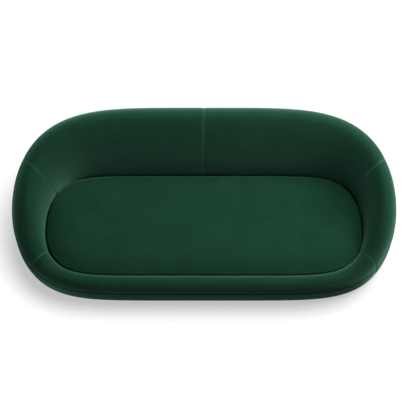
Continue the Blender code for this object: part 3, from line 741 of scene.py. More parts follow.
class Repeat:
    """Copies a small piece along paths with Geometry Nodes, then bakes one plain mesh."""

    def __init__(self, name: str) -> None:
        """Builds the node tree and keeps the identifiers of its inputs.

        Args:
            name: Name of the tree.
        """
        self.tree = tree = bpy.data.node_groups.new(name, "GeometryNodeTree")
        face = tree.interface
        face.new_socket("Geometry", in_out="INPUT", socket_type="NodeSocketGeometry")
        kinds = {"Piece": "Object", "Spacing": "Float", "Unevenness": "Float", "Seed": "Int",
                 "Finish": "Material"}
        self.inputs = {label: face.new_socket(label, in_out="INPUT",
                                              socket_type="NodeSocket" + kind).identifier
                       for label, kind in kinds.items()}
        face.new_socket("Geometry", in_out="OUTPUT", socket_type="NodeSocketGeometry")
        given = add_node(tree, "NodeGroupInput", {}, {}).outputs

        def node(kind: str, settings: dict[str, Any], inputs: Feeds,
                 output: str | int = 0) -> NodeSocket:
            """Adds a node and returns one of its outputs."""
            return add_node(tree, kind, settings, inputs).outputs[output]

        path = node("GeometryNodeMeshToCurve", {}, {"Mesh": given["Geometry"]})
        even = node("GeometryNodeResampleCurve", {"mode": "LENGTH"},
                    {"Curve": path, "Length": given["Spacing"]})
        along = node("FunctionNodeAlignRotationToVector", {"axis": "X"},
                     {"Vector": node("GeometryNodeInputTangent", {}, {})})
        up = node("GeometryNodeInputNamedAttribute", {"data_type": "FLOAT_VECTOR"}, {"Name": "up"})
        turned = node("FunctionNodeAlignRotationToVector", {"axis": "Z", "pivot_axis": "X"},
                      {"Rotation": along, "Vector": up})
        low, high = (node("ShaderNodeMath", {"operation": operation},
                          {0: 1.0, 1: given["Unevenness"]}) for operation in ("SUBTRACT", "ADD"))
        size = node("FunctionNodeRandomValue", {"data_type": "FLOAT"},
                    {2: low, 3: high, "Seed": given["Seed"]}, 1)
        shape = node("GeometryNodeObjectInfo", {}, {"Object": given["Piece"]}, "Geometry")
        copies = node("GeometryNodeInstanceOnPoints", {},
                      {"Points": even, "Instance": shape, "Rotation": turned, "Scale": size})
        real = node("GeometryNodeRealizeInstances", {}, {0: copies})
        looks = node("GeometryNodeSetMaterial", {},
                     {"Geometry": real, "Material": given["Finish"]})
        add_node(tree, "NodeGroupOutput", {}, {0: looks})

    def along(self, name: str, paths: Sequence[Path],
              piece: Object, spacing: float, look: Material,
              unevenness: float = 0.05, seed: int = 7) -> Object:
        """One mesh of copies along some paths.

        Args:
            name: Its name.
            paths: Points, upward directions and whether the path closes, for each path.
            piece: What is copied; its X follows the path. It is removed.
            spacing: Distance from copy to copy.
            look: Their material.
            unevenness: Share by which their size varies.
            seed: Seed of that variation.

        Returns:
            The plain mesh object.
        """
        edges, points, ups = [], [], []
        for line, up, closes in paths:
            start, count = sum(map(len, points)), len(line)
            edges += [(start + k, start + (k + 1) % count)
                      for k in range(count if closes else count - 1)]
            points.append(line)
            ups.append(up)
        mesh = bpy.data.meshes.new(name)
        mesh.from_pydata(np.concatenate(points).tolist(), edges, [])
        made = placed(name, mesh)
        Build.mark(made, "up", np.concatenate(ups))
        copier = made.modifiers.new("Copies", "NODES")
        copier.node_group = self.tree
        for label, value in {"Piece": piece, "Spacing": spacing, "Unevenness": unevenness,
                             "Seed": seed, "Finish": look}.items():
            copier[self.inputs[label]] = value
        Build.baked(made)
        bpy.data.objects.remove(piece, do_unlink=True)
        return made


def grid_normals(points: Grid, wrap: bool = False) -> Grid:
    """Unit normals of a grid of rows by columns by 3, from its own differences."""
    along = np.roll(points, -1, 1) - np.roll(points, 1, 1) if wrap else np.gradient(points, axis=1)
    return unit(np.cross(along, np.gradient(points, axis=0)))


# Finishes

def operator(operation: str, turned: bool = False) -> Callable[..., "Value"]:
    """A method of Value that adds one Math node; turned puts the other operand first."""
    return lambda value, *others: value.math(operation, *others, turned=turned)


class Value:
    """A socket of a shader tree; arithmetic on it adds Math nodes."""

    def __init__(self, tree: "ShaderTree", socket: NodeSocket) -> None:
        """Keeps the tree and the socket."""
        self.tree, self.socket = tree, socket

    def math(self, operation: str, *others: "Value | float", clamp: bool = False,
             turned: bool = False) -> "Value":
        """Adds one Math node.

        Args:
            operation: What it works out.
            others: Its other operands.
            clamp: Whether its result is held between 0 and 1.
            turned: Whether the others come first.

        Returns:
            Its result.
        """
        values = (*others, self) if turned else (self, *others)
        return self.tree.node("ShaderNodeMath", {"operation": operation, "use_clamp": clamp},
                              dict(enumerate(values)))

    __add__ = __radd__ = operator("ADD")
    __sub__, __rsub__ = operator("SUBTRACT"), operator("SUBTRACT", turned=True)
    __mul__ = __rmul__ = operator("MULTIPLY")
    __truediv__, __pow__ = operator("DIVIDE"), operator("POWER")
    __lt__, __abs__ = operator("LESS_THAN"), operator("ABSOLUTE")
    sine = operator("SINE")

    def clamped(self) -> "Value":
        """The value held between 0 and 1."""
        return self.math("ADD", 0.0, clamp=True)


class ShaderTree:
    """Builds the node tree of one material or world."""

    def __init__(self, name: str, world: bool = False) -> None:
        """Starts a material, or a world, with an empty tree.

        Args:
            name: Its name.
            world: Whether it is a world.
        """
        self.owner = (bpy.data.worlds if world else bpy.data.materials).new(name)
        self.end = "ShaderNodeOutput" + ("World" if world else "Material")
        self.owner.use_nodes = True
        self.tree = self.owner.node_tree
        self.tree.nodes.clear()

    def node(self, kind: str, settings: dict[str, Any] | None = None,
             inputs: Feeds | None = None, output: str | int = 0) -> Value:
        """Adds a node."""
        made = add_node(self.tree, kind, settings or {}, inputs or {})
        return Value(self, made.outputs[output])

    def place(self) -> Value:
        """Object coordinates, in metres."""
        return self.node("ShaderNodeTexCoord", output="Object")

    def flat_side(self) -> Value:
        """Directions that faces point, in the object's own space."""
        return self.node("ShaderNodeTexCoord", output="Normal")

    def own(self, name: str) -> Value:
        """A vector stored on the piece's points."""
        return self.node("ShaderNodeAttribute", {"attribute_name": name}, output="Vector")

    def part(self, vector: Value, axis: str) -> Value:
        """The X, Y or Z of a vector."""
        return self.node("ShaderNodeSeparateXYZ", {}, {0: vector}, output=axis)

    def stretched(self, vector: Value, scale: tuple[float, float, float]) -> Value:
        """A vector scaled along each axis."""
        return self.node("ShaderNodeMapping", {}, {"Vector": vector, "Scale": scale})

    def cells(self, vector: Value, scale: float) -> Value:
        """Distance to the nearest of some scattered points."""
        return self.node("ShaderNodeTexVoronoi", {}, {"Vector": vector, "Scale": scale},
                         output="Distance")

    def noise(self, vector: Value, scale: float, detail: float = 2.0, roughness: float = 0.5
              ) -> Value:
        """A noise between 0 and 1."""
        return self.node("ShaderNodeTexNoise", {}, {"Vector": vector, "Scale": scale,
                                                   "Detail": detail, "Roughness": roughness})

    def mix(self, factor: Value | float, first: Any, second: Any) -> Value:
        """A mix of two colours."""
        return self.node("ShaderNodeMix", {"data_type": "RGBA"},
                         {0: factor, 6: first, 7: second}, 2)

    def bump(self, height: Value, strength: float, distance: float) -> Value:
        """A normal from a height."""
        return self.node("ShaderNodeBump", {}, {"Height": height, "Strength": strength,
                                               "Distance": distance})

    def seen(self) -> Value:
        """1 for rays from the camera, in reflections and through glass.

        Returns:
            The mask.
        """
        camera, glossy, clear = (
            self.node("ShaderNodeLightPath", output=f"Is {kind} Ray")
            for kind in ("Camera", "Glossy", "Transmission"))
        return camera.math("MAXIMUM", glossy).math("MAXIMUM", clear)

    def ended(self, shader: Value) -> Material | bpy.types.World:
        """The material or world, its tree ended in this shader."""
        add_node(self.tree, self.end, {}, {"Surface": shader})
        return self.owner


@dataclass(frozen=True)
class Finish:
    """A material whose kind says what its Principled shader is fed."""

    name: str

    def make(self) -> Material:
        """The material."""
        tree = ShaderTree(self.name)
        return tree.ended(tree.node("ShaderNodeBsdfPrincipled", {}, self.feeds(tree)))

    def feeds(self, tree: ShaderTree) -> Feeds:
        """What its shader is fed."""
        raise NotImplementedError


@dataclass(frozen=True)
class VelvetFinish(Finish):
    """Short-pile velvet: dark facing the eye, paler where it turns away, with a painted highlight
    in a paler tone where a piece's stored mask asks for it.
    """

    colour: Colour = (0.0068, 0.041, 0.0215)
    brushed: Colour = (0.0105, 0.057, 0.0310)
    # Paler tone of the painted highlight along seams and the roll's inner edge.
    opened: Colour = (0.0300, 0.104, 0.0660)
    sheen: float = 0.32
    sheen_roughness: float = 0.50
    sheen_tint: Colour = (0.38, 1.0, 0.69)
    # Scales every tone: below 1 makes a painted-shade copy of the velvet, above 1 a
    # painted-highlight copy.
    depth: float = 1.0
    nap_scale: float = 7.0
    pile_scale: float = 900.0

    def feeds(self, tree: ShaderTree) -> Feeds:
        """What its shader is fed.

        Args:
            tree: Its shader tree.

        Returns:
            Values and links by socket.
        """
        place = tree.place()
        patches = tree.noise(place, self.nap_scale, 3.0, 0.55)
        streaks = tree.noise(place, 4.3 * self.nap_scale, 4.0, 0.6)
        pile = tree.noise(place, self.pile_scale, 1.0, 0.6)
        brushed = (patches * 1.5 + streaks * 0.6 + pile * 0.35 - 0.72).clamped()
        normal = tree.bump(pile + streaks * 0.6, 0.25, 0.0006)
        low, high, highlight_tone = (tuple(self.depth * part for part in tone)
                           for tone in (self.colour, self.brushed, self.opened))
        # Painted highlight: the base colour takes the paler tone where the piece's stored
        # highlight mask is set.
        return {
            "Base Color": tree.mix(tree.part(tree.own("painted_highlight"), "X"),
                                   tree.mix(brushed, low, high), highlight_tone),
            "Roughness": 0.9, "Specular IOR Level": 0.06, "Normal": normal,
            "Sheen Weight": self.sheen, "Sheen Roughness": self.sheen_roughness,
            "Sheen Tint": self.sheen_tint}


@dataclass(frozen=True)
class FoamFinish(Finish):
    """Cut open-cell foam: pale, finely pored with painted shade in the pores, and a little
    yellowed in patches.
    """

    colour: Colour = (0.66, 0.58, 0.37)
    aged: Colour = (0.55, 0.43, 0.22)
    pore_shade: Colour = (0.28, 0.22, 0.11)
    pore_scale: float = 430.0

    def feeds(self, tree: ShaderTree) -> Feeds:
        """What its shader is fed.

        Args:
            tree: Its shader tree.

        Returns:
            Values and links by socket.
        """
        place = tree.place()
        # Painted shade: the pores, which the bump sets lower, are painted darker.
        pores = (1 - tree.cells(place, self.pore_scale) * 2.2).clamped()
        age = (tree.noise(place, 5.0, 3.0, 0.6) * 1.8 - 0.45).clamped()
        return {
            "Base Color": tree.mix(pores * 0.45, tree.mix(age, self.colour, self.aged), self.pore_shade),
            "Roughness": 0.95, "Specular IOR Level": 0.15,
            "Normal": tree.bump(1 - pores, 0.5, 0.0008)}


class Grain(Enum):
    """Which way the grain of a board runs, as scales along X, Y and Z."""

    ALONG = (1.6, 34.0, 34.0)
    ACROSS = (34.0, 1.6, 34.0)
    UPRIGHT = (34.0, 34.0, 1.6)


@dataclass(frozen=True)
class PlyFinish(Finish):
    """Plywood: a peeled face with long grain, and glue lines on its cut edges."""

    grain: Grain
    colour: Colour = (0.60, 0.43, 0.25)
    late: Colour = (0.44, 0.28, 0.14)
    glue: Colour = (0.17, 0.09, 0.04)
    layer: float = 0.0015
    edge_lines: float = 0.7

    def feeds(self, tree: ShaderTree) -> Feeds:
        """What its shader is fed.

        Args:
            tree: Its shader tree.

        Returns:
            Values and links by socket.
        """
        place = tree.place()
        grain = tree.stretched(place, self.grain.value)
        rings = (tree.noise(grain, 1.0, 5.0, 0.62) * 2.6 - 0.85).clamped()
        pores = tree.noise(grain, 9.0, 3.0, 0.7)
        tone = tree.mix((rings * 0.75 + pores * 0.35 - 0.1).clamped(), self.colour, self.late)
        layers = (tree.part(place, "Z") * (math.pi / self.layer)).sine() ** 2.0
        upright = 1 - abs(tree.part(tree.flat_side(), "Z"))
        lines = ((layers * 2.4 - 1.4).clamped() * upright * self.edge_lines).clamped()
        return {
            "Base Color": tree.mix(lines, tone, self.glue),
            "Roughness": 0.5 + pores * 0.25, "Specular IOR Level": 0.35,
            "Normal": tree.bump(pores + rings * 0.4, 0.25, 0.0004)}


@dataclass(frozen=True)
class WebbingFinish(Finish):
    """Elastic webbing: black ribbed weave with two ochre lines, from its own lengthwise map."""

    colour: Colour = (0.018, 0.018, 0.020)
    worn: Colour = (0.045, 0.043, 0.042)
    line: Colour = (0.42, 0.22, 0.03)
    line_place: float = 0.021
    line_half: float = 0.0018
    rib: float = 0.0022

    def feeds(self, tree: ShaderTree) -> Feeds:
        """What its shader is fed.

        Args:
            tree: Its shader tree.

        Returns:
            Values and links by socket.
        """
        weave = tree.own("weave")
        across, along = tree.part(weave, "X"), tree.part(weave, "Y")
        ribs = (along * (2 * math.pi / self.rib)).sine() * 0.5 + 0.5
        yarns = (across * (2 * math.pi / self.rib)).sine() * 0.5 + 0.5
        lines = abs(abs(across) - self.line_place) < self.line_half
        wear = tree.noise(weave, 40.0, 3.0, 0.6)
        tone = tree.mix((wear * ribs * 1.4).clamped(), self.colour, self.worn)
        return {
            "Base Color": tree.mix(lines * (0.65 + ribs * 0.35), tone, self.line),
            "Roughness": 0.8, "Specular IOR Level": 0.2,
            "Normal": tree.bump(ribs * 0.7 + yarns * 0.3, 0.6, 0.0005)}


@dataclass(frozen=True)
class FeltFinish(Finish):
    """Needled felt: grey, flecked fibres."""

    colour: Colour = (0.16, 0.16, 0.165)
    fleck: Colour = (0.38, 0.36, 0.33)

    def feeds(self, tree: ShaderTree) -> Feeds:
        """What its shader is fed.

        Args:
            tree: Its shader tree.

        Returns:
            Values and links by socket.
        """
        place = tree.place()
        fibres = tree.noise(tree.stretched(place, (90.0, 300.0, 300.0)), 1.0, 5.0, 0.75)
        crossed = tree.noise(tree.stretched(place, (300.0, 90.0, 300.0)), 1.0, 5.0, 0.75)
        flecks = (tree.noise(place, 160.0, 2.0, 0.5) * 4.0 - 2.4).clamped()
        return {
            "Base Color": tree.mix((fibres * 0.4 + flecks * 0.5).clamped(), self.colour,
                                   self.fleck),
            "Roughness": 0.97, "Specular IOR Level": 0.1,
            "Normal": tree.bump(fibres + crossed, 0.5, 0.0010)}


@dataclass(frozen=True)
class LiningFinish(Finish):
    """Bonded lining cloth: thin, with a fine grid of pressed dots."""

    colour: Colour = (0.012, 0.012, 0.013)
    raised: Colour = (0.032, 0.032, 0.034)
    pitch: float = 0.0018

    def feeds(self, tree: ShaderTree) -> Feeds:
        """What its shader is fed.

        Args:
            tree: Its shader tree.

        Returns:
            Values and links by socket.
        """
        place = tree.place()
        turn = 2 * math.pi / self.pitch
        x, y = tree.part(place, "X"), tree.part(place, "Y")
        dots = ((x * turn).sine() * (y * turn).sine() * 1.6 - 0.4).clamped()
        clouds = tree.noise(place, 60.0, 4.0, 0.65)
        return {
            "Base Color": tree.mix(((1 - dots) * clouds * 1.3).clamped(), self.colour,
                                   self.raised),
            "Roughness": 0.75 + clouds * 0.2, "Specular IOR Level": 0.25,
            "Normal": tree.bump(clouds * 0.6 - dots, 0.45, 0.0005)}


@dataclass(frozen=True)
class CardFinish(Finish):
    """Grey-brown tack card: pressed paper fibre."""

    colour: Colour = (0.40, 0.29, 0.17)
    dark: Colour = (0.27, 0.18, 0.10)

    def feeds(self, tree: ShaderTree) -> Feeds:
        """What its shader is fed.

        Args:
            tree: Its shader tree.

        Returns:
            Values and links by socket.
        """
        place = tree.place()
        fibres = tree.noise(tree.stretched(place, (60.0, 260.0, 260.0)), 1.0, 5.0, 0.7)
        specks = (tree.noise(place, 420.0, 1.0, 0.5) * 5.0 - 3.2).clamped()
        return {
            "Base Color": tree.mix((fibres * 0.7 + specks * 0.6).clamped(), self.colour,
                                   self.dark),
            "Roughness": 0.9, "Specular IOR Level": 0.15,
            "Normal": tree.bump(fibres, 0.3, 0.0003)}


@dataclass(frozen=True)
class MetalFinish(Finish):
    """Plated or lacquered metal with fine drawn lines."""

    colour: Colour = (0.56, 0.56, 0.55)
    dull: Colour = (0.38, 0.38, 0.37)
    roughness: float = 0.28

    def feeds(self, tree: ShaderTree) -> Feeds:
        """What its shader is fed.

        Args:
            tree: Its shader tree.

        Returns:
            Values and links by socket.
        """
        place = tree.place()
        drawn = tree.noise(tree.stretched(place, (900.0, 900.0, 2600.0)), 1.0, 2.0, 0.5)
        stains = (tree.noise(place, 140.0, 3.0, 0.6) * 2.0 - 0.7).clamped()
        return {
            "Base Color": tree.mix(stains, self.colour, self.dull), "Metallic": 1.0,
            "Roughness": self.roughness + stains * 0.2 + drawn * 0.08,
            "Normal": tree.bump(drawn, 0.15, 0.0001)}


@dataclass(frozen=True)
class PlasticFinish(Finish):
    """Moulded plastic or nylon with a fine spark texture and rubbed patches."""

    colour: Colour = (0.014, 0.014, 0.015)
    rubbed: Colour = (0.040, 0.040, 0.041)
    roughness: float = 0.42

    def feeds(self, tree: ShaderTree) -> Feeds:
        """What its shader is fed.

        Args:
            tree: Its shader tree.

        Returns:
            Values and links by socket.
        """
        place = tree.place()
        spark = tree.noise(place, 1400.0, 2.0, 0.6)
        rub = (tree.noise(place, 90.0, 4.0, 0.65) * 2.4 - 1.1).clamped()
        return {
            "Base Color": tree.mix(rub, self.colour, self.rubbed),
            "Roughness": self.roughness + rub * 0.15 + spark * 0.06,
            "Normal": tree.bump(spark, 0.3, 0.0002)}


@dataclass(frozen=True)
class YarnFinish(Finish):
    """Close-set yarn, as sewing thread or woven tape."""

    colour: Colour = (0.010, 0.040, 0.024)
    light: Colour = (0.030, 0.090, 0.060)
    pitch: float = 0.0007

    def feeds(self, tree: ShaderTree) -> Feeds:
        """What its shader is fed.

        Args:
            tree: Its shader tree.

        Returns:
            Values and links by socket.
        """
        place = tree.place()
        turn = 2 * math.pi / self.pitch
        x, y, z = (tree.part(place, axis) for axis in "XYZ")
        twist = ((x + y) * turn).sine() * 0.5 + 0.5
        rows = ((z + x * 0.5) * turn).sine() * 0.5 + 0.5
        return {
            "Base Color": tree.mix(twist * 0.5 + rows * 0.5, self.colour, self.light),
            "Roughness": 0.7, "Specular IOR Level": 0.3,
            "Normal": tree.bump(twist + rows, 0.5, 0.0002)}


def made_of(kind: Finish) -> Any:
    """A field that holds this finish's material."""
    return field(default_factory=kind.make)


@dataclass(frozen=True)
class Looks:
    """The materials of the sewn, sprung and screwed pieces, each made once."""

    # One velvet in three tones: the roll's copy is darker as painted shade, the piping's paler as
    # a painted highlight.
    velvet: Material = made_of(VelvetFinish("velvet", depth=0.8))
    seat_velvet: Material = made_of(VelvetFinish("velvet_seat"))
    piping_velvet_painted_highlight: Material = made_of(VelvetFinish("velvet_piping", depth=1.6))
    foam: Material = made_of(FoamFinish("foam"))
    lining: Material = made_of(LiningFinish("lining"))
    felt: Material = made_of(FeltFinish("felt"))
    webbing: Material = made_of(WebbingFinish("elastic_webbing"))
    thread: Material = made_of(YarnFinish("thread"))
    zip_tape: Material = made_of(YarnFinish("zip_tape"))
    zip_nylon: Material = made_of(PlasticFinish(
        "zip_nylon", (0.012, 0.045, 0.027), (0.030, 0.080, 0.052), 0.35))
    zip_metal: Material = made_of(MetalFinish(
        "zip_metal", (0.10, 0.10, 0.10), (0.06, 0.06, 0.06), 0.35))
    glide: Material = made_of(PlasticFinish("glide_plastic"))
    screw: Material = made_of(MetalFinish("zinc_screw", (0.62, 0.60, 0.52)))
    staple: Material = made_of(MetalFinish("staple_wire"))


# Covers, skirts, piping and foam

@dataclass(frozen=True)
class SeamSizes:
    """How the cloth turns down into a seam or behind the piping, in metres."""

    shoulder: float = 0.0042
    depth: float = 0.0045
    gap: float = 0.0003
    pull_depth: float = 0.0014
    pull_reach: float = 0.016
    turns: int = 6
    growth: float = 1.33
    widest: float = 0.010

    def lines(self, reach: float) -> Grid:
        """Distances of the grid lines from the seam, out to a reach.

        Args:
            reach: Where they end.

        Returns:
            The distances.
        """
        turn = np.linspace(math.pi / 2, 0, self.turns)
        near = list(self.gap + self.shoulder * (1 - np.sin(turn)))
        step = near[-1] - near[-2]
        while near[-1] < reach:
            step = min(step * self.growth, self.widest)
            near.append(near[-1] + step)
        return np.array(near)

    def dip(self, distance: Grid) -> Grid:
        """How far the cloth lies under its smooth surface at a distance from the seam.

        Args:
            distance: Distances from the seam.

        Returns:
            A depth for each.
        """
        share = np.clip(1 - (distance - self.gap) / self.shoulder, 0.0, 1.0)
        turned = self.depth * (1 - np.sqrt(np.maximum(1 - share ** 2, 0.0)))
        return turned + self.pull_depth * np.exp(-distance / self.pull_reach)


class Surface(Enum):
    """The two faces of the tub that are covered in velvet."""

    ROLL = "roll"
    WALL = "wall"


@dataclass
class Panel:
    """A velvet panel between two seams, as a grid of rows up the tub by columns round it."""

    SAMPLES: ClassVar[int] = 600
    tub: Tub
    kind: Surface
    start: float
    end: float
    spacing: float
    seam: SeamSizes
    welt: SeamSizes
    hem_radius: float = 0.004
    # Reach and strength of the painted highlight along the seams.
    highlight_reach: float = 0.010
    seam_highlight: float = 0.65
    seam_reach: float = 0.09
    fade: float = 0.16
    welt_reach: float = 0.03
    points: Grid = field(init=False)
    distance: Grid = field(init=False)
    opened: Grid = field(init=False)

    def __post_init__(self) -> None:
        """Draws the grid and turns its edges down."""
        surface = self.tub.roll if self.kind is Surface.ROLL else self.tub.wall
        places, column_runs = self._columns(surface)
        shares, row_runs = self._rows(surface, places)
        grid = np.tile(places, (len(shares), 1))
        length = column_runs[-1]
        for edge, place, sign in ((0, self.start, 1), (-1, self.end, -1)):
            pace = self.tub.pace(surface, place, shares[:, edge])
            away = column_runs if sign > 0 else length - column_runs
            weight = 1 - smooth((away - self.seam.shoulder) / self.fade)
            grid += weight * (place + sign * away[None, :] / pace[:, None] - places)
        flat = surface(grid, shares)
        if self.kind is Surface.WALL:
            flat, row_runs = self._hem(grid[0], flat, row_runs)
        dips = (self.seam.dip(column_runs) + self.seam.dip(length - column_runs))[None, :]
        self.distance = np.minimum(column_runs, length - column_runs)
        self.points = flat - grid_normals(flat) * (dips + self.welt.dip(row_runs))[..., None]
        # Painted highlight: paler along the seams and, fading towards the back, over the inside of
        # the roll next to the seat.
        at_seam = self.seam_highlight * smooth(2 - 2 * self.distance / self.highlight_reach)
        self.opened = np.tile(at_seam, (len(flat), 1))
        if self.kind is Surface.ROLL:
            edge_highlight = smooth((shares - 1.2) / 0.7) * (1 - self.tub.cut(grid)["rise"])
            self.opened = np.maximum(self.opened, edge_highlight)

    def _columns(self, surface: Shape) -> tuple[Grid, Grid]:
        """Places of the columns and their distances from the first seam.

        Args:
            surface: The surface, from place and share.

        Returns:
            The places and the distances.
        """
        middle = np.linspace(self.start, self.end, self.SAMPLES)
        run = lengths(surface(middle, np.ones_like(middle)))
        near = self.seam.lines(self.seam_reach)
        count = max(int((run[-1] - 2 * near[-1]) / self.spacing), 1)
        inner = np.linspace(near[-1], run[-1] - near[-1], count + 2)[1:-1]
        runs = np.concatenate([near, inner, run[-1] - near[::-1]])
        return np.interp(runs, run, middle), runs

    def _rows(self, surface: Shape, places: Grid) -> tuple[Grid, Grid]:
        """Shares by row and column, and the distances from the piping line.

        Args:
            surface: The surface, from place and share.
            places: Places of the columns.

        Returns:
            The shares and the distances.
        """
        roll = self.kind is Surface.ROLL
        steps = np.linspace(0, 3, 500) if roll else np.linspace(1, 0, 300)
        run = lengths(surface(np.tile(places, (len(steps), 1)),
                              np.tile(steps[:, None], len(places))))
        near = self.welt.lines(self.welt_reach)
        count = int((run[-1].max() - near[-1]) / self.spacing) + 1
        part = np.linspace(0, 1, count + 1)[1:, None]
        last = run[-1] - (0.0 if roll else self.hem_radius)
        runs = np.concatenate([np.tile(near[:, None], len(places)),
                               near[-1] + part * (last - near[-1])])
        order = slice(None) if roll else slice(None, None, -1)
        shares = np.stack([np.interp(runs[:, j], run[:, j], steps)
                           for j in range(len(places))], -1)
        return shares[order], runs[order]

    def _hem(self, places: Grid, flat: Grid, runs: Grid) -> tuple[Grid, Grid]:
        """Adds the rolled hem and the flange under the base, below the first row.

        Args:
            places: Places of the columns.
            flat: The grid above the hem.
            runs: Its distances from the piping line.

        Returns:
            The grid and the distances with the hem.
        """
        z, cut = self.tub.sizes, self.tub.cut(places)
        edge = cut["width"] - z.skirt_taper
        rows = []
        for inward in np.linspace(z.flange_width, self.hem_radius, 4):
            rows.append(self.tub.at(places, edge - inward, z.floor_gap, cut))
        for turn in np.linspace(math.pi / 2, 0, 6)[1:-1]:
            rows.append(self.tub.at(places, edge - self.hem_radius * (1 - math.cos(turn)),
                                    z.floor_gap + self.hem_radius * (1 - math.sin(turn)), cut))
        rows = np.array(rows)
        far = np.full(rows.shape[:2], runs.max())
        return np.concatenate([rows, flat]), np.concatenate([far, runs])

    def under(self, depth: float) -> Grid:
        """The grid this far under the cloth's face."""
        return self.points - grid_normals(self.points) * depth

    def cloth(self, name: str) -> Object:
        """The panel as cloth, marked for a painted highlight along its seams and the roll's inner
        edge.

        Args:
            name: Its name.

        Returns:
            The new object.
        """
        piece = Build.shell(name, self.points, self.under(self.tub.sizes.cover))
        opened = np.concatenate([self.opened.reshape(-1)] * 2)
        Build.mark(piece, "painted_highlight", np.stack([opened] * 3, -1))
        return piece


@dataclass
class Upholstery:
    """Velvet covers, skirts, piping and the foam under them."""

    tub: Tub
    looks: Looks
    seam: SeamSizes = SeamSizes()
    welt: SeamSizes = SeamSizes(shoulder=0.0045, depth=0.0050, gap=0.0008, pull_depth=0.0010,
                                pull_reach=0.012)
    spacing: float = 0.010
    cord_sides: int = 14
    cord_fin: float = 0.009
    cord_fin_width: float = 0.0008
    liner_clearance: float = 0.0035

    def covers(self) -> dict[str, tuple[float, float]]:
        """The five covers, each from seam to seam.

        Returns:
            Start and end place by name.
        """
        front, back = self.tub.front_seam, self.tub.back_seam
        return {"front_roll": (-front, front), "right_arm": (front, back),
                "back_right": (back, 0.5), "back_left": (0.5, 1 - back),
                "left_arm": (1 - back, 1 - front)}

    def panel(self, kind: Surface, span: tuple[float, float], coarse: float = 1.0) -> Panel:
        """A panel from seam to seam, its grid this many times coarser than a cover's."""
        return Panel(self.tub, kind, *span, coarse * self.spacing, self.seam, self.welt)

    def make_covers(self) -> None:
        """The velvet over the roll, in five panels."""
        for name, span in self.covers().items():
            piece = self.panel(Surface.ROLL, span).cloth("velvet_" + name)
            finish(piece, self.looks.velvet, BODY_TUB, ["cover_" + name])

    def make_skirts(self) -> None:
        """The velvet down the outside, in two panels."""
        front = self.tub.front_seam
        for name, span in {"front": (-front, front), "back": (front, 1 - front)}.items():
            piece = self.panel(Surface.WALL, span, 1.3).cloth("velvet_skirt_" + name)
            finish(piece, self.looks.seat_velvet, BODY_TUB, ["skirt_" + name])

    def cord_line(self, count: int) -> tuple[Grid, Grid]:
        """Centres of the piping cord and the outward directions there.

        Args:
            count: How many.

        Returns:
            The centres and the directions.
        """
        z = self.tub.sizes
        places = np.linspace(0, 1, count, endpoint=False)
        cut = self.tub.cut(places)
        out = np.pad(cut["direction"], ((0, 0), (0, 1)))
        return self.tub.at(places, cut["width"] + z.piping_proud, cut["piping"], cut), out

    def make_piping(self) -> None:
        """The piping all round, a covered cord with the fin that it is sewn in by."""
        z = self.tub.sizes
        centres, out = self.cord_line(1100)
        along = unit(np.roll(centres, -1, 0) - np.roll(centres, 1, 0))
        up = unit(np.cross(along, out))
        up *= np.sign(up[:, 2:3])
        half = self.cord_fin_width / 2
        turn_in = math.asin(half / z.piping_radius)
        turns = np.linspace(-math.pi + turn_in, math.pi - turn_in, self.cord_sides)
        profile = [(z.piping_radius * math.cos(t), z.piping_radius * math.sin(t))
                   for t in turns]
        profile += [(-z.piping_radius - self.cord_fin, half),
                    (-z.piping_radius - self.cord_fin, -half)]
        rings = np.stack([centres + out * x + up * y for x, y in profile], 1)
        piece = Build.lofts("velvet_piping", [rings], round_closed=True)
        finish(piece, self.looks.piping_velvet_painted_highlight, BODY_TUB, ["piping"])

    def make_foams(self) -> None:
        """The foam rolls that fill the covers."""
        z, tub = self.tub.sizes, self.tub
        front, back = tub.front_seam, tub.back_seam
        for name, spans in {"front": [(-front, front)], "right": [(front, back)],
                            "back": [(back, 0.5), (0.5, 1 - back)],
                            "left": [(1 - back, 1 - front)]}.items():
            faces, columns = [], []
            for span in spans:
                panel = self.panel(Surface.ROLL, span, 2.0)
                faces.append(panel.under(z.cover + z.touch))
                middle = np.linspace(*span, Panel.SAMPLES)
                run = lengths(tub.roll(middle, np.ones_like(middle)))
                far = panel.distance.copy()
                half = int(np.argmax(far))
                far[half + 1:] = run[-1] - far[half + 1:]
                columns.append(np.interp(far, run, middle))
            face, places = np.concatenate(faces, 1), np.concatenate(columns)
            cut = tub.cut(places)
            core_top = cut["piping"] - z.piping_radius
            cap_under = core_top - z.ply
            low = z.ring_top + z.touch
            lean = (cut["liner_top"] - z.liner_foot) / (core_top - low)
            clear = self.liner_clearance
            inner = [(z.liner_foot - clear, z.deck_top + z.touch),
                     (z.liner_foot + lean * (cap_under - low) - clear, cap_under),
                     (cut["liner_top"] - clear, core_top + z.touch)]
            back_side = np.array([tub.at(places, run_, height, cut) for run_, height in inner])
            rings = np.concatenate([face, back_side]).transpose(1, 0, 2)
            piece = Build.lofts("foam_fill_" + name, [rings])
            finish(piece, self.looks.foam, BODY_TUB, ["foam_" + name])

    def make(self) -> None:
        """All of it."""
        self.make_covers()
        self.make_skirts()
        self.make_piping()
        self.make_foams()


def dress(piece: Object, look: Material) -> None:
    """Gives a piece this material alone."""
    piece.data.materials.clear()
    piece.data.materials.append(look)


def finish(piece: Object, look: Material, body: str, nodes: Sequence[str] = ()) -> None:
    """Gives a piece its material and body, hides the frame nodes that it stands for, and logs it.

    Args:
        piece: The finished object.
        look: Its material.
        body: The frame body that carries it.
        nodes: The frame nodes that it stands for.
    """
    dress(piece, look)
    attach(piece, body)
    if nodes:
        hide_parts(*nodes)
    LOG.info("%s: %d faces on %s", piece.name, len(piece.data.polygons), body)


# The loose cushion and its zip

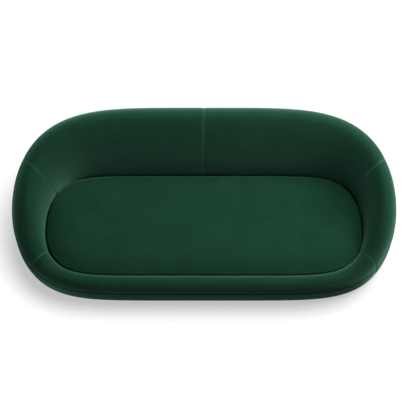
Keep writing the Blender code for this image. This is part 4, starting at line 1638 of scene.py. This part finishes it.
@dataclass
class SeatCushion:
    """The loose cushion: a boxed velvet cover, swelled by its filling, zipped at the back."""

    tub: Tub
    looks: Looks
    seam: SeamSizes = SeamSizes(shoulder=0.0032, depth=0.0036, pull_depth=0.0016, pull_reach=0.010)
    gap: float = 0.0045
    height: float = 0.126
    crown: float = 0.030
    back_lift: float = 0.008
    front_drop: float = 0.014
    front_round: float = 0.012
    start_lean: tuple[float, float] = (0.17, 0.61)
    front_fall: float = 3.0
    back_fall: float = 4.0
    top_radius: float = 0.018
    seam_drop: float = 0.030
    top_fullness: float = 0.85
    foot_radius: float = 0.012
    draw_in: float = 0.004
    long_cells: int = 112
    short_cells: int = 36
    pressure: float = 4.0
    frames: int = 20
    swell: float = 0.016
    side_swell: float = 0.002
    evenings: int = 24
    zip_reach: float = 0.358
    zip_depth: float = 0.0036
    zip_half: float = 0.0032
    zip_edge: float = 0.0046
    row_spacing: float = 0.008
    stitch_depth: float = 0.0045
    fine_reach: float = 0.007

    def __post_init__(self) -> None:
        """Works out the heights of the parts of the side."""
        z = self.tub.sizes
        self.low = z.deck_top + z.touch
        self.edge = self.low + self.height
        self.top_seam = self.edge - self.seam_drop
        self.foot_seam = self.low + self.foot_radius
        self.zip_height = (self.top_seam + self.foot_seam) / 2
        self.places = self.tub.round_way(2 * (self.long_cells + self.short_cells))
        self.cut = self.tub.cut(self.places)
        frontness = smooth(0.5 - self.cut["direction"][:, 1] * 1.2)
        self.lift = self.back_lift * (1 - frontness) - self.front_drop * frontness
        self.radius = self.top_radius + self.front_round * frontness
        self.lean = self.start_lean[0] + (self.start_lean[1] - self.start_lean[0]) * frontness

    def profile(self, shares: Grid) -> Grid:
        """Side points by share: 0 top rim, 1 top seam, 2 foot seam, 3 underside rim.

        Args:
            shares: A share for each row.

        Returns:
            Rows by columns by 3.
        """
        shares = np.asarray(shares)[:, None]
        turn = self.lean + np.clip(shares, 0, 1) * (math.pi / 2 - self.lean)
        rise = self.seam_drop + self.lift[None]
        inward = self.radius * (1 - np.sin(turn) ** self.top_fullness)
        height = self.top_seam + rise * (np.maximum(np.cos(turn), 0)
                                         / np.cos(self.lean)) ** self.top_fullness
        side = np.clip(shares - 1, 0, 1)
        inward = inward + self.draw_in * np.sin(math.pi * side)
        height = height - (self.top_seam - self.foot_seam) * side
        turn = np.clip(shares - 2, 0, 1) * math.pi / 2
        inward = inward + self.foot_radius * (1 - np.cos(turn))
        height = height - self.foot_radius * np.sin(turn)
        return self.tub.at(np.tile(self.places, (len(shares), 1)), -self.gap - inward, height)

    def level(self, rim: Grid) -> Grid:
        """From 0 at the rim to 1 in the middle of the panel, falling slowest to the front.

        Args:
            rim: Points round the panel.

        Returns:
            A level for each point of the grid.
        """
        def far(points: Grid) -> Grid:
            """How far out points lie, 0 at the middle of the well and 1 at its edge."""
            return self.tub.seat.level(points[..., :2]) + 1
        grid = fill_rim(np.concatenate([rim[:, :2], far(rim)[:, None]], 1),
                        self.long_cells, self.short_cells)
        front, back = grid[..., 1].min(), grid[..., 1].max()
        power = self.front_fall + (self.back_fall - self.front_fall) * smooth(
            (grid[..., 1] - front) / (back - front) * 1.6 - 0.3)
        return 1 - np.clip(far(grid) / grid[..., 2], 0, 1) ** power

    def cage(self, side: Grid, drop: float) -> tuple[Grid, list[list[int]], Grid]:
        """The closed cushion from its side rows.

        Args:
            side: Rows from the top rim to the underside rim, by columns, by 3.
            drop: How far the middle of the top lies under its full height.

        Returns:
            Points, faces and how far each point may swell, from 0 to 1.
        """
        nx, ny = self.long_cells, self.short_cells
        top, bottom = fill_rim(side[0], nx, ny), fill_rim(side[-1], nx, ny)
        level = self.level(side[0])
        top[..., 2] += (self.edge + self.crown - top[..., 2]) * level - drop * level
        count, panel = side.shape[1], (nx + 1) * (ny + 1)
        points = np.concatenate([part.reshape(-1, 3) for part in (top, side[1:-1], bottom)])
        free = np.concatenate([level.reshape(-1), np.zeros(count * (len(side) - 2) + panel)])
        rim, last = rim_index(nx, ny), panel + count * (len(side) - 2)
        loops = np.array([rim, *(panel + r * count + np.arange(count)
                                 for r in range(len(side) - 2)), rim + last])
        ahead = np.roll(loops, -1, axis=1)
        walls = np.stack([loops[:-1], loops[1:], ahead[1:], ahead[:-1]], -1).reshape(-1, 4)
        quads = np.concatenate([Build.quads(ny + 1, nx + 1), walls,
                                Build.quads(ny + 1, nx + 1, start=last, flip=True)])
        return points, Build.outward(points, quads), free

    def swelled(self, points: Grid, faces: list[list[int]], pinned: Grid, limit: Grid) -> Grid:
        """How cloth under pressure moves each point of the closed cushion.

        Args:
            points: Its points, a little under full size.
            faces: Its faces.
            pinned: Where it rests and stays.
            limit: How far each point may move.

        Returns:
            The moves, held to the limit.
        """
        trial = Build.obj("cushion_trial", points, faces)
        trial.vertex_groups.new(name="rests").add(np.flatnonzero(pinned).tolist(), 1.0, "REPLACE")
        cloth = trial.modifiers.new("Swell", "CLOTH")
        cloth.settings.use_pressure = True
        cloth.settings.uniform_pressure_force = self.pressure
        cloth.settings.vertex_group_mass = "rests"
        cloth.settings.effector_weights.gravity = 0.0
        cloth.point_cache.frame_start, cloth.point_cache.frame_end = 1, self.frames
        for frame in range(1, self.frames + 1):
            bpy.context.scene.frame_set(frame)
        Build.baked(trial)
        moved = np.empty(len(points) * 3, np.float32)
        trial.data.vertices.foreach_get("co", moved)
        bpy.data.objects.remove(trial, do_unlink=True)
        bpy.context.scene.frame_set(1)
        moves = moved.reshape(-1, 3).astype(float) - points
        size = np.linalg.norm(moves, axis=1)
        return moves * np.minimum(1, limit / np.maximum(size, 1e-9))[:, None]

    def evened(self, moves: Grid) -> Grid:
        """The moves, those of the top evened out among neighbours, as a firm filling does.

        Args:
            moves: A move for each point of the cage.

        Returns:
            The same moves, evened.
        """
        grid = moves[:(self.long_cells + 1) * (self.short_cells + 1)].reshape(
            self.short_cells + 1, self.long_cells + 1, 3)
        for _ in range(self.evenings):
            near = grid[1:-1, :-2] + grid[1:-1, 2:] + grid[:-2, 1:-1] + grid[2:, 1:-1]
            grid[1:-1, 1:-1] = (grid[1:-1, 1:-1] + near) / 5
        return moves

    def rows(self) -> tuple[Grid, Grid]:
        """The rows of the finished side.

        Returns:
            Their shares, and how far the cloth dips there by column.
        """
        steps = np.linspace(0, 3, 400)
        run = lengths(self.profile(steps)[:, 0])
        top, foot, middle = np.interp((1.0, 2.0, 1.5), steps, run)
        near = np.concatenate([[0.0], self.seam.lines(self.fine_reach)])
        wide = np.array([0.0, 0.0022, self.zip_half, 0.0044, self.fine_reach])
        fixed = np.concatenate([top - near, top + near, foot - near, foot + near,
                                middle - wide, middle + wide, [0.0, run[-1]]])
        fixed = np.unique(np.round(fixed[(fixed >= 0) & (fixed <= run[-1])], 7))
        runs = [fixed[0]]
        for there in fixed[1:]:
            parts = max(int(math.ceil((there - runs[-1]) / self.row_spacing)), 1)
            runs += list(np.linspace(runs[-1], there, parts + 1)[1:])
        runs = np.array(runs)
        dips = (self.seam.dip(abs(runs - top)) + self.seam.dip(abs(runs - foot)))[:, None]
        x = self.cut["well"][:, 0][None]
        behind = ((self.cut["direction"][:, 1][None] > 0.5)
                  * smooth((self.zip_reach - abs(x)) / 0.01))
        slot = smooth((self.zip_edge - abs(runs - middle))
                      / (self.zip_edge - self.zip_half))[:, None]
        return (np.interp(runs, run, steps), np.maximum(dips, self.zip_depth * slot * behind))

    def make(self) -> None:
        """The cushion cover."""
        coarse = np.concatenate([np.linspace(0, 1, 5), np.linspace(1, 2, 8)[1:],
                                 np.linspace(2, 3, 4)[1:]])
        side = self.profile(coarse)
        start, faces, free = self.cage(side, self.swell)
        count, panel = side.shape[1], (self.long_cells + 1) * (self.short_cells + 1)
        resting = np.arange(len(start)) >= len(start) - panel
        moves = self.evened(self.swelled(
            start, faces, resting, self.side_swell + (self.swell - self.side_swell) * free))
        rim = rim_index(self.long_cells, self.short_cells)
        ring_moves = np.concatenate([moves[rim][None], moves[panel:-panel].reshape(-1, count, 3),
                                     np.zeros((1, count, 3))])
        shares, dips = self.rows()
        place = np.interp(shares, coarse, np.arange(len(coarse)))
        under = np.minimum(place.astype(int), len(coarse) - 2)
        part = (place - under)[:, None, None]
        fine = self.profile(shares)
        fine = fine + (1 - part) * ring_moves[under] + part * ring_moves[under + 1]
        out = grid_normals(fine, wrap=True)
        out *= np.sign((out[..., :2] * self.cut["direction"][None]).sum(-1).mean())
        fine[1:-1] -= (out * dips[..., None])[1:-1]
        points, faces, free = self.cage(fine, self.swell)
        points[:panel] += moves[:panel] * (free[:panel, None] > 0)
        piece = Build.obj("velvet_seat_cushion", points, faces, 180.0)
        shape = piece.modifiers.new("Rounding", "SUBSURF")
        shape.levels = shape.render_levels = 1
        Build.baked(piece)
        piece.data.shade_smooth()
        finish(piece, self.looks.seat_velvet, BODY_CUSHION,
               ["seat_cushion_cover", "seat_cushion_foam"])

    def seam_lines(self) -> list[Path]:
        """Paths and upward directions of the stitches in the two seams.

        Returns:
            Points, upward directions and whether it closes, by seam.
        """
        up = np.pad(self.cut["direction"], ((0, 0), (0, 1)))
        return [(self.profile(np.array([share]))[0] - up * self.stitch_depth, up, True)
                for share in (1.0, 2.0)]


@dataclass
class CushionZip:
    """The zip at the back of the cushion: two tapes, nylon teeth and a slider with its pull."""

    cushion: SeatCushion
    looks: Looks
    repeat: Repeat
    half_length: float = 0.350
    tape_half: float = 0.012
    tape_thickness: float = 0.001
    tape_depth: float = 0.0024
    tooth_pitch: float = 0.00135
    tooth_size: tuple[float, float, float] = (0.0042, 0.0008, 0.0014)
    slider_x: float = 0.336
    pull_length: float = 0.022
    pull_thickness: float = 0.0008

    def __post_init__(self) -> None:
        """Finds the face of the cushion at the zip."""
        z = self.cushion
        self.face = z.tub.back - z.gap - z.draw_in
        self.height = z.zip_height

    def make_tapes(self) -> None:
        """Two woven tapes that meet under the teeth."""
        bodies = []
        back = self.face - self.tape_depth - self.tape_thickness
        xs = np.linspace(-self.half_length, self.half_length, 60)
        for sign in (-1, 1):
            shape = [(back, 0.0002), (back, self.tape_half), (back + 0.0006, self.tape_half),
                     (back + self.tape_thickness, self.tape_half - 0.0008),
                     (back + self.tape_thickness, 0.0010), (back + 0.0012, 0.0002)]
            bodies.append(np.array([[(x, y, self.height + sign * h) for y, h in shape]
                                    for x in xs]))
        piece = Build.lofts("zip_tapes", bodies)
        finish(piece, self.looks.zip_tape, BODY_CUSHION, ["cushion_zip"])

    def make_teeth(self) -> None:
        """A row of nylon teeth, one bar for each turn of the coil."""
        xs = np.linspace(-self.half_length + 0.002, self.half_length - 0.003, 40)
        line = np.stack([xs, np.full(40, self.face - self.tape_depth + 0.0006),
                         np.full(40, self.height)], -1)
        up = np.tile([0.0, 1.0, 0.0], (40, 1))
        tooth = Build.bar("zip_tooth", *self.tooth_size, across=True)
        nylon = self.looks.zip_nylon
        piece = self.repeat.along("zip_teeth", [(line, up, False)], tooth, self.tooth_pitch,
                                  nylon, 0.02)
        finish(piece, nylon, BODY_CUSHION)

    def make_slider(self) -> None:
        """The slider, the bridge over it and the pull that hangs from the bridge."""
        x, y, z = self.slider_x, self.face + 0.0002, self.height
        body = np.array([[(x + dx, y + half * b, z + tall * a) for a, b in squircle(20, 0.5)]
                         for dx, tall, half in ((-0.0070, 0.0022, 0.0008),
                                                (-0.0064, 0.0028, 0.0012),
                                                (-0.0020, 0.0034, 0.0012),
                                                (0.0030, 0.0045, 0.0012),
                                                (0.0064, 0.0045, 0.0012),
                                                (0.0070, 0.0040, 0.0008))])
        bridge = np.array([[(x - 0.0042 * math.cos(t),
                             y + 0.0010 + 0.0016 * math.sin(t) + 0.00045 * math.cos(s),
                             z + 0.0009 * math.sin(s)) for s in circle(8)]
                           for t in np.linspace(0, math.pi, 9)])
        half, thick = self.pull_length / 2, self.pull_thickness / 2
        rim = [(0.0036 * a, 0.0015 - half + half * b) for a, b in squircle(24, 0.6)]
        inner = [(0.45 * a, -0.0012 + 0.0026 * (b + half) / half) for a, b in rim]
        pull = np.array([[(x + edge[0], y + 0.0024 + deep, z + edge[1]) for edge, deep in
                          ((a, -thick), (a, thick), (b, thick), (b, -thick))]
                         for a, b in zip(rim, inner)])
        for piece in (Build.lofts("zip_slider", [body, bridge]),
                      Build.lofts("zip_pull", [pull], round_closed=True)):
            finish(piece, self.looks.zip_metal, BODY_CUSHION)

    def make(self) -> None:
        """All of it."""
        self.make_tapes()
        self.make_teeth()
        self.make_slider()


# Seat platform

@dataclass
class Platform:
    """The seat platform: woven elastic webbing, felt, and the cloth that the cushion lies on."""

    tub: Tub
    looks: Looks
    repeat: Repeat
    band_width: float = 0.070
    band_thickness: float = 0.0018
    band_spacing: float = 0.125
    long_spacing: float = 0.120
    grip: float = 0.018
    plateau: float = 0.004
    bite: float = 0.0002
    ring_inside: float = 0.035
    strip_top: float = 0.2841
    staple_run: float = 0.012
    staple_spacing: float = 0.034
    felt: tuple[float, float] = (0.2895, 0.2845)
    cloth: tuple[float, float] = (0.2912, 0.2899)
    tuck: float = 0.040
    border: float = 0.100
    border_drop: float = 0.0006
    cells: tuple[int, int] = (120, 40)

    def _middles(self, reach: float, spacing: float) -> Grid:
        """As many places as fit within the reach to both sides of a middle one."""
        return spacing * np.arange(-int(reach / spacing), int(reach / spacing) + 1)

    def _band(self, line: Grid, side: Grid) -> tuple[Grid, Grid]:
        """One band along a line of its under face.

        Args:
            line: Points along its middle.
            side: Horizontal direction across it.

        Returns:
            Its rings, and the place across and along at each point.
        """
        half, thick = self.band_width / 2, self.band_thickness
        shape = [(-1, 0.5), (-0.985, 0.1), (-0.6, 0), (0, 0), (0.6, 0), (0.985, 0.1),
                 (1, 0.5), (0.985, 0.9), (0.6, 1), (0, 1), (-0.6, 1), (-0.985, 0.9)]
        run = lengths(line)
        rings = np.stack([line + side * half * a + np.array([0, 0, thick * b])
                          for a, b in shape], 1)
        weave = np.stack([np.stack([np.full(len(line), half * a), run, np.zeros(len(line))], -1)
                          for a, _ in shape], 1)
        return rings, weave

    def make_webbing(self) -> None:
        """Bands front to back, with long bands woven over and under them."""
        tub, thick = self.tub, self.band_thickness
        bottom = tub.sizes.ring_top + tub.sizes.touch
        ys = (tub.front + tub.back) / 2 + self._middles(
            (tub.back - tub.front) / 2 - self.ring_inside - self.band_width / 2, self.long_spacing)
        reach = min(tub.well_x(y) for y in ys)
        xs = self._middles(reach - self.ring_inside - self.band_width / 2 - self.plateau,
                           self.band_spacing)
        bands = []
        for x in xs:
            y = np.linspace(tub.well_y(x, False) - self.grip, tub.well_y(x, True) + self.grip, 30)
            line = np.stack(np.broadcast_arrays(x, y, bottom), -1)
            bands.append(self._band(line, np.array([1.0, 0, 0])))
        for j, y in enumerate(ys):
            end = tub.well_x(y) + self.grip
            flat = self.band_width / 2 + self.plateau
            over, under = bottom + thick - self.bite, bottom - thick + self.bite
            stops = [-end, -end + self.ring_inside + self.grip]
            levels = [bottom, bottom]
            for i, x in enumerate(xs):
                stops += [x - flat, x + flat]
                levels += [over if (i + j) % 2 == 0 else under] * 2
            stops += [end - self.ring_inside - self.grip, end]
            levels += [bottom, bottom]
            line_x = np.linspace(-end, end, 330)
            k = np.clip(np.searchsorted(stops, line_x) - 1, 0, len(stops) - 2)
            stops, levels = np.array(stops), np.array(levels)
            part = smooth((line_x - stops[k]) / (stops[k + 1] - stops[k]))
            height = levels[k] + (levels[k + 1] - levels[k]) * part
            line = np.stack(np.broadcast_arrays(line_x, y, height), -1)
            bands.append(self._band(line, np.array([0, 1.0, 0])))
        piece = Build.lofts("woven_webbing", [rings for rings, _ in bands])
        Build.mark(piece, "weave", np.concatenate([w.reshape(-1, 3) for _, w in bands]))
        finish(piece, self.looks.webbing, BODY_TUB, ["webbing"])

    def make_sheets(self) -> None:
        """The felt, the lining in the middle of the deck and its velvet border."""
        count = 2 * sum(self.cells)
        outer = self.tub.level_line(count, self.tuck, 0.0)
        inner = self.tub.level_line(count, -self.border, 0.0)
        piece = Build.slab("deck_felt_sheet", fill_rim(outer, *self.cells), *self.felt)
        finish(piece, self.looks.felt, BODY_TUB, ["deck_felt"])
        piece = Build.slab("deck_lining", fill_rim(inner, *self.cells), *self.cloth)
        finish(piece, self.looks.lining, BODY_TUB, ["deck_cloth"])
        rows = np.array([self.tub.level_line(count, run, 0.0)
                         for run in (self.tuck, 0.02, 0.0, -0.03, -0.06, -self.border + 0.003,
                                     0.001 - self.border)])
        top, under = np.full(rows.shape[:2], self.cloth[0]), self.cloth[1]
        top[-1] -= self.border_drop
        piece = Build.slab("deck_border", rows, top, under, wrap=True)
        finish(piece, self.looks.velvet, BODY_TUB)

    def make_staples(self) -> None:
        """Staples through the tack strip that holds the webbing."""
        line = self.tub.level_line(500, self.staple_run, self.strip_top + STAPLE_OUT)
        staples("strip_staples", [line], 1.0, self.staple_spacing, self.repeat, self.looks.staple)

    def make(self) -> None:
        """All of it."""
        self.make_webbing()
        self.make_sheets()
        self.make_staples()


def staples(name: str, lines: Sequence[Grid], upward: float, spacing: float, repeat: Repeat,
            wire: Material) -> None:
    """Rows of staples round the tub.

    Args:
        name: Its name.
        lines: Points along each closed row.
        upward: 1 if their crowns face up, -1 if they face down.
        spacing: Distance from staple to staple.
        repeat: The copier.
        wire: Their material.
    """
    staple = Build.bar("staple", *STAPLE_SIZE)
    paths = [(line, np.tile([0.0, 0.0, upward], (len(line), 1)), True) for line in lines]
    finish(repeat.along(name, paths, staple, spacing, wire), wire, BODY_TUB)


# Underside

@dataclass
class Underside:
    """What is seen from below: the dust cover, its staples, the glides and their screws."""

    tub: Tub
    looks: Looks
    repeat: Repeat
    top: float = 0.0300
    thickness: float = 0.0012
    flange: float = 0.030
    clear: float = 0.002
    sag: float = 0.003
    rib_inside: float = 0.030
    staple_inside: float = 0.009
    staple_spacing: float = 0.042
    glide_radius: float = 0.025
    hole_clear: float = 0.0006
    bearer_x: float = 0.450
    screw_tip: float = 0.0964
    thread_pitch: float = 0.0026
    cells: tuple[int, int] = (132, 48)

    def feet(self) -> dict[str, Grid]:
        """The places of the glides.

        Returns:
            The centre of each on the floor, by name.
        """
        tub = self.tub
        corner = (tub.back_seam + tub.place_at_x(self.bearer_x, back=True)) / 2
        places = {"front_centre": 0.0, "front_right": tub.front_seam, "back_right": corner,
                  "back_centre": 0.5, "back_left": 1 - corner, "front_left": 1 - tub.front_seam}
        cut = tub.cut(np.array(list(places.values())))
        run = (cut["width"] - tub.sizes.skirt_taper - self.flange - self.rib_inside) / 2
        spots = cut["well"] + cut["direction"] * run[:, None]
        return dict(zip(places, spots))

    def make_cover(self) -> None:
        """The dust cover: cloth stapled under the base, sagging a little between."""
        line = self.tub.level_line(2 * sum(self.cells), -self.flange - self.clear, 0.0, True)
        grid = fill_rim(line, *self.cells)
        sag = self.sag * smooth(-1.5 * self.tub.seat.level(grid[..., :2]) - 0.15)
        piece = Build.slab("dust_cover_cloth", grid, self.top - self.thickness - sag,
                           self.top - sag)
        radius = self.glide_radius + self.hole_clear
        cutter = Build.lofts("glide_posts", [self._post(radius, spot)
                                             for spot in self.feet().values()])
        holes = piece.modifiers.new("Holes", "BOOLEAN")
        holes.operation, holes.solver, holes.object = "DIFFERENCE", "EXACT", cutter
        Build.baked(piece)
        bpy.data.objects.remove(cutter, do_unlink=True)
        finish(piece, self.looks.lining, BODY_TUB, ["dust_cover"])

    def _post(self, radius: float, spot: Grid) -> Grid:
        """Rings of an upright post that cuts a hole for a glide.

        Args:
            radius: Of the hole.
            spot: Its middle, x and y.

        Returns:
            Two rings of points.
        """
        turns = circle(48)
        return np.array([[(spot[0] + radius * math.cos(t), spot[1] + radius * math.sin(t), h)
                          for t in turns] for h in (0.010, 0.050)])

    def make_staples(self) -> None:
        """Staples along the dust cover's edge and the skirts' turned-under flange."""
        cover = self.tub.level_line(700, -self.flange - self.clear - self.staple_inside,
                                    self.top - self.thickness - STAPLE_OUT, True)
        flange = self.tub.level_line(700, self.staple_inside - self.flange,
                                     self.tub.sizes.floor_gap - STAPLE_OUT, True)
        staples("base_staples", [cover, flange], -1.0, self.staple_spacing, self.repeat,
                self.looks.staple)

    def make_glides(self) -> None:
        """Turned glides with a groove, a rounded foot and a counterbore for the screw."""
        r, top = self.glide_radius, self.top
        profile = [(r, top), (r, 0.0182), (r - 0.0007, 0.0176), (r - 0.0007, 0.0162),
                   (r, 0.0156), (r - 0.0004, 0.0128), (r - 0.0016, 0.0060),
                   (r - 0.0024, 0.0020), (r - 0.0036, 0.0004), (r - 0.0046, 0.0),
                   (0.0082, 0.0), (0.0070, 0.0010), (0.0070, 0.0120), (0.0035, 0.0120),
                   (0.0035, top)]
        for name, spot in self.feet().items():
            piece = Build.lofts("glide_" + name, [Build.turned(profile, spot)], round_closed=True)
            finish(piece, self.looks.glide, BODY_TUB, ["foot_" + name])

    def make_screws(self) -> None:
        """Wood screws: a pan head with a cross recess, a shank and a cut thread."""
        turns = circle(24)
        cross = 0.0009 + 0.0021 * abs(np.cos(2 * turns)) ** 5
        rows = [(0.45 * cross, 0.0088), (0.8 * cross, 0.0082), (cross, 0.0057),
                (0.0038, 0.0056), (0.0052, 0.0060), (0.0059, 0.0072), (0.0060, 0.0096),
                (0.0056, 0.0115), (0.0029, 0.0116), (0.0029, 0.0480)]
        for h in np.arange(0.0486, 0.0884, self.thread_pitch / 6):
            wave = np.abs(np.mod(h / self.thread_pitch - turns / (2 * math.pi), 1.0) - 0.5) * 2
            rows.append((0.0023 + 0.0007 * wave ** 2, h))
        rows += [(0.0016, 0.0925), (0.0002, self.screw_tip)]
        for name, spot in self.feet().items():
            rings = np.array([np.stack([spot[0] + r * np.cos(turns), spot[1] + r * np.sin(turns),
                                        np.full(24, h)], -1) for r, h in rows])
            piece = Build.lofts("screw_" + name, [rings])
            finish(piece, self.looks.screw, BODY_TUB, ["foot_screw_" + name])

    def make(self) -> None:
        """All of it."""
        self.make_cover()
        self.make_staples()
        self.make_glides()
        self.make_screws()


# Stitches and the wooden frame

@dataclass
class Stitching:
    """Sewing thread in the open seams of the covers, the skirts and the cushion."""

    tub: Tub
    cushion: SeatCushion
    seam: SeamSizes
    looks: Looks
    repeat: Repeat
    pitch: float = 0.004
    cushion_pitch: float = 0.006
    proud: float = 0.0004

    def _down(self, surface: Shape, place: float, shares: Grid) -> Path:
        """The floor of a seam at one place, and the outward directions there.

        Args:
            surface: The surface, from place and share.
            place: The place of the seam.
            shares: Shares along it.

        Returns:
            The path that its stitches follow.
        """
        places = np.full_like(shares, place)
        out = self.tub.normals(surface, places, shares, shares.max())
        line = surface(places, shares)
        up = out[:, 2].mean()
        outward = (out[:, :2] * self.tub.cut(places)["direction"]).sum(1).mean()
        out *= np.sign(up if abs(up) > 0.2 else outward)
        return line - out * (self.seam.depth + self.seam.pull_depth - self.proud), out, False

    def make(self) -> None:
        """All stitches of the tub, then all of the cushion."""
        front, back = self.tub.front_seam, self.tub.back_seam
        lines = [self._down(self.tub.roll, place, np.linspace(0.02, 2.0, 60))
                 for place in (front, back, 0.5, 1 - back, 1 - front)]
        lines += [self._down(self.tub.wall, place, np.linspace(0.03, 0.97, 30))
                  for place in (front, 1 - front)]
        for name, paths, length, pitch, body in (
                ("tub_stitches", lines, 0.0027, self.pitch, BODY_TUB),
                ("cushion_stitches", self.cushion.seam_lines(), 0.0042, self.cushion_pitch,
                 BODY_CUSHION)):
            stitch = Build.bar("stitch", length, 0.0006, 0.0005)
            piece = self.repeat.along(name, paths, stitch, pitch, self.looks.thread)
            finish(piece, self.looks.thread, body)


@dataclass
class Timber:
    """Finishes for the wooden frame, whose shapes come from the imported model."""

    finishes: tuple[tuple[Finish, tuple[str, ...]], ...] = (
        (PlyFinish("birch_board", Grain.ALONG), ("base_ring", "seat_ring")),
        (PlyFinish("birch_bearer", Grain.ACROSS, edge_lines=0.0), ("bearer_",)),
        (PlyFinish("birch_rib", Grain.UPRIGHT, edge_lines=0.0), ("rib_",)),
        (PlyFinish("bending_ply", Grain.UPRIGHT, (0.52, 0.36, 0.21), (0.38, 0.24, 0.13),
                   edge_lines=0.0), ("cap_rail", "outer_skin_", "liner_")),
        (CardFinish("tack_card"), ("tack_strip",)))

    def make(self) -> None:
        """Gives each wooden node its own finish, by how its name starts."""
        for kind, starts in self.finishes:
            look = kind.make()
            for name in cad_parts:
                if name.startswith(starts):
                    dress(bpy.data.objects[name], look)
                    LOG.info("%s: %s", name, look.name)


# Studio

@dataclass(frozen=True)
class Lamp:
    """A round soft lamp, in degrees, watts and metres, or a sun, in degrees and W/m2."""

    name: str
    bearing: float
    height: float
    power: float
    size: float
    sun: bool = False


@dataclass(frozen=True)
class Studio:
    """Floor, lamps and camera."""

    distance: float = 14.0
    elevation: float = 78.5
    lens: float = 213.0
    target: tuple[float, float, float] = (0.0, 0.0, 0.35)
    shift_right: float = 0.005
    shift_up: float = 0.0052
    floor_size: float = 60.0
    floor_colour: Colour = (0.62, 0.62, 0.62)
    floor_bounce: Colour = (0.15, 0.15, 0.15)
    floor_lift: float = 0.52
    # Painted shadow under the sofa: where and how far the floor's glow is dimmed.
    painted_shadow_reach: tuple[float, float] = (1.07, 0.49)
    painted_shadow_square: float = 4.5
    painted_shadow_softness: float = 5.0
    painted_shadow_glow: Colour = (0.10, 0.10, 0.10)
    floor_lamp: Lamp = Lamp("floor_lamp", 40.0, 76.0, 2.65, 21.5, sun=True)
    lamp_distance: float = 5.5
    lamps_set: tuple[Lamp, ...] = (
        Lamp("key_lamp", 26.0, 40.0, 185.0, 2.4), Lamp("low_lamp", 20.0, 15.0, 90.0, 2.4),
        Lamp("top_lamp", 35.0, 65.0, 150.0, 2.4), Lamp("rim_lamp", 120.0, 15.0, 75.0, 2.2),
        Lamp("fill_lamp", 180.0, 40.0, 18.0, 2.4), Lamp("left_lamp", 180.0, 3.0, 36.0, 2.0))

    def camera(self) -> None:
        """The photograph's view."""
        lift = math.radians(self.elevation)
        back = Vector((0.0, -math.cos(lift), math.sin(lift)))
        up = Vector((0.0, math.sin(lift), math.cos(lift)))
        aim = Vector(self.target) + Vector((self.shift_right, 0, 0)) + up * self.shift_up
        data = bpy.data.cameras.new("photo_view")
        data.lens = self.lens
        data.clip_end = 200.0
        eye = placed("photo_view", data)
        eye.location = aim + back * self.distance
        eye.rotation_euler = (-back).to_track_quat("-Z", "Y").to_euler()
        bpy.context.scene.camera = eye

    def floor(self) -> Object:
        """A pale floor that the camera sees as white, with the shadow kept, and a painted shadow
        that dims its glow under the sofa.

        Returns:
            The floor.
        """
        half = self.floor_size / 2
        points = np.array([(-half, -half, 0), (half, -half, 0), (half, half, 0), (-half, half, 0)])
        floor = Build.obj("studio_floor", points, [(0, 1, 2, 3)])
        tree = ShaderTree("studio_floor")
        bounced = tree.node("ShaderNodeLightPath", output="Is Diffuse Ray")
        base = tree.node("ShaderNodeBsdfDiffuse", {}, {
            "Color": tree.mix(bounced, self.floor_colour, self.floor_bounce)})
        # Painted shadow: the glow is dimmed inside a soft superellipse round the sofa's footprint.
        x, y = (abs(tree.part(tree.place(), axis)) / reach
                for axis, reach in zip("XY", self.painted_shadow_reach))
        under = ((1 - x ** self.painted_shadow_square - y ** 2.0) * self.painted_shadow_softness).clamped()
        lift = tree.node("ShaderNodeEmission", {}, {
            "Color": tree.mix(under, (1.0, 1.0, 1.0), self.painted_shadow_glow),
            "Strength": tree.seen() * self.floor_lift})
        floor.data.materials.append(tree.ended(
            tree.node("ShaderNodeAddShader", {}, {0: base, 1: lift})))
        return floor

    def lamp(self, lamp: Lamp, floor: Object, on_floor: bool) -> None:
        """One soft lamp, which lights either the floor alone or all but the floor.

        Args:
            lamp: The lamp.
            floor: The floor.
            on_floor: Whether it lights the floor alone.
        """
        data = bpy.data.lights.new(lamp.name, "SUN" if lamp.sun else "AREA")
        data.energy = lamp.power
        if lamp.sun:
            data.angle = math.radians(lamp.size)
        else:
            data.shape, data.size = "DISK", lamp.size
        made = placed(lamp.name, data)
        bearing, height = math.radians(lamp.bearing), math.radians(lamp.height)
        out = Vector((math.cos(bearing) * math.cos(height),
                      math.sin(bearing) * math.cos(height), math.sin(height)))
        made.location = Vector(self.target) + out * self.lamp_distance
        made.rotation_euler = (-out).to_track_quat("-Z", "Y").to_euler()
        lit = bpy.data.collections.new("lit_by_" + lamp.name)
        lit.objects.link(floor)
        state = "INCLUDE" if on_floor else "EXCLUDE"
        lit.collection_objects[0].light_linking.link_state = state
        made.light_linking.receiver_collection = lit

    def world(self) -> None:
        """A room that the camera and reflections see as white, and that gives no light."""
        tree = ShaderTree("studio", world=True)
        bpy.context.scene.world = tree.ended(tree.node(
            "ShaderNodeBackground", {}, {"Color": (1, 1, 1), "Strength": tree.seen()}))

    def make(self) -> None:
        """All of it."""
        self.camera()
        self.world()
        floor = self.floor()
        for lamp in self.lamps_set:
            self.lamp(lamp, floor, False)
        self.lamp(self.floor_lamp, floor, True)
        bpy.context.scene.view_settings.view_transform = "Standard"


def main() -> None:
    """Builds the sofa's looks in order."""
    logging.basicConfig(level=logging.INFO, format="%(message)s")
    Studio().make()
    tub, looks, repeat = Tub(TubSizes()), Looks(), Repeat("copies_along_a_path")
    upholstery, cushion = Upholstery(tub, looks), SeatCushion(tub, looks)
    for assembly in (upholstery, cushion, CushionZip(cushion, looks, repeat),
                     Platform(tub, looks, repeat), Underside(tub, looks, repeat),
                     Stitching(tub, cushion, upholstery.seam, looks, repeat), Timber()):
        assembly.make()


if __name__ == "__main__":
    main()
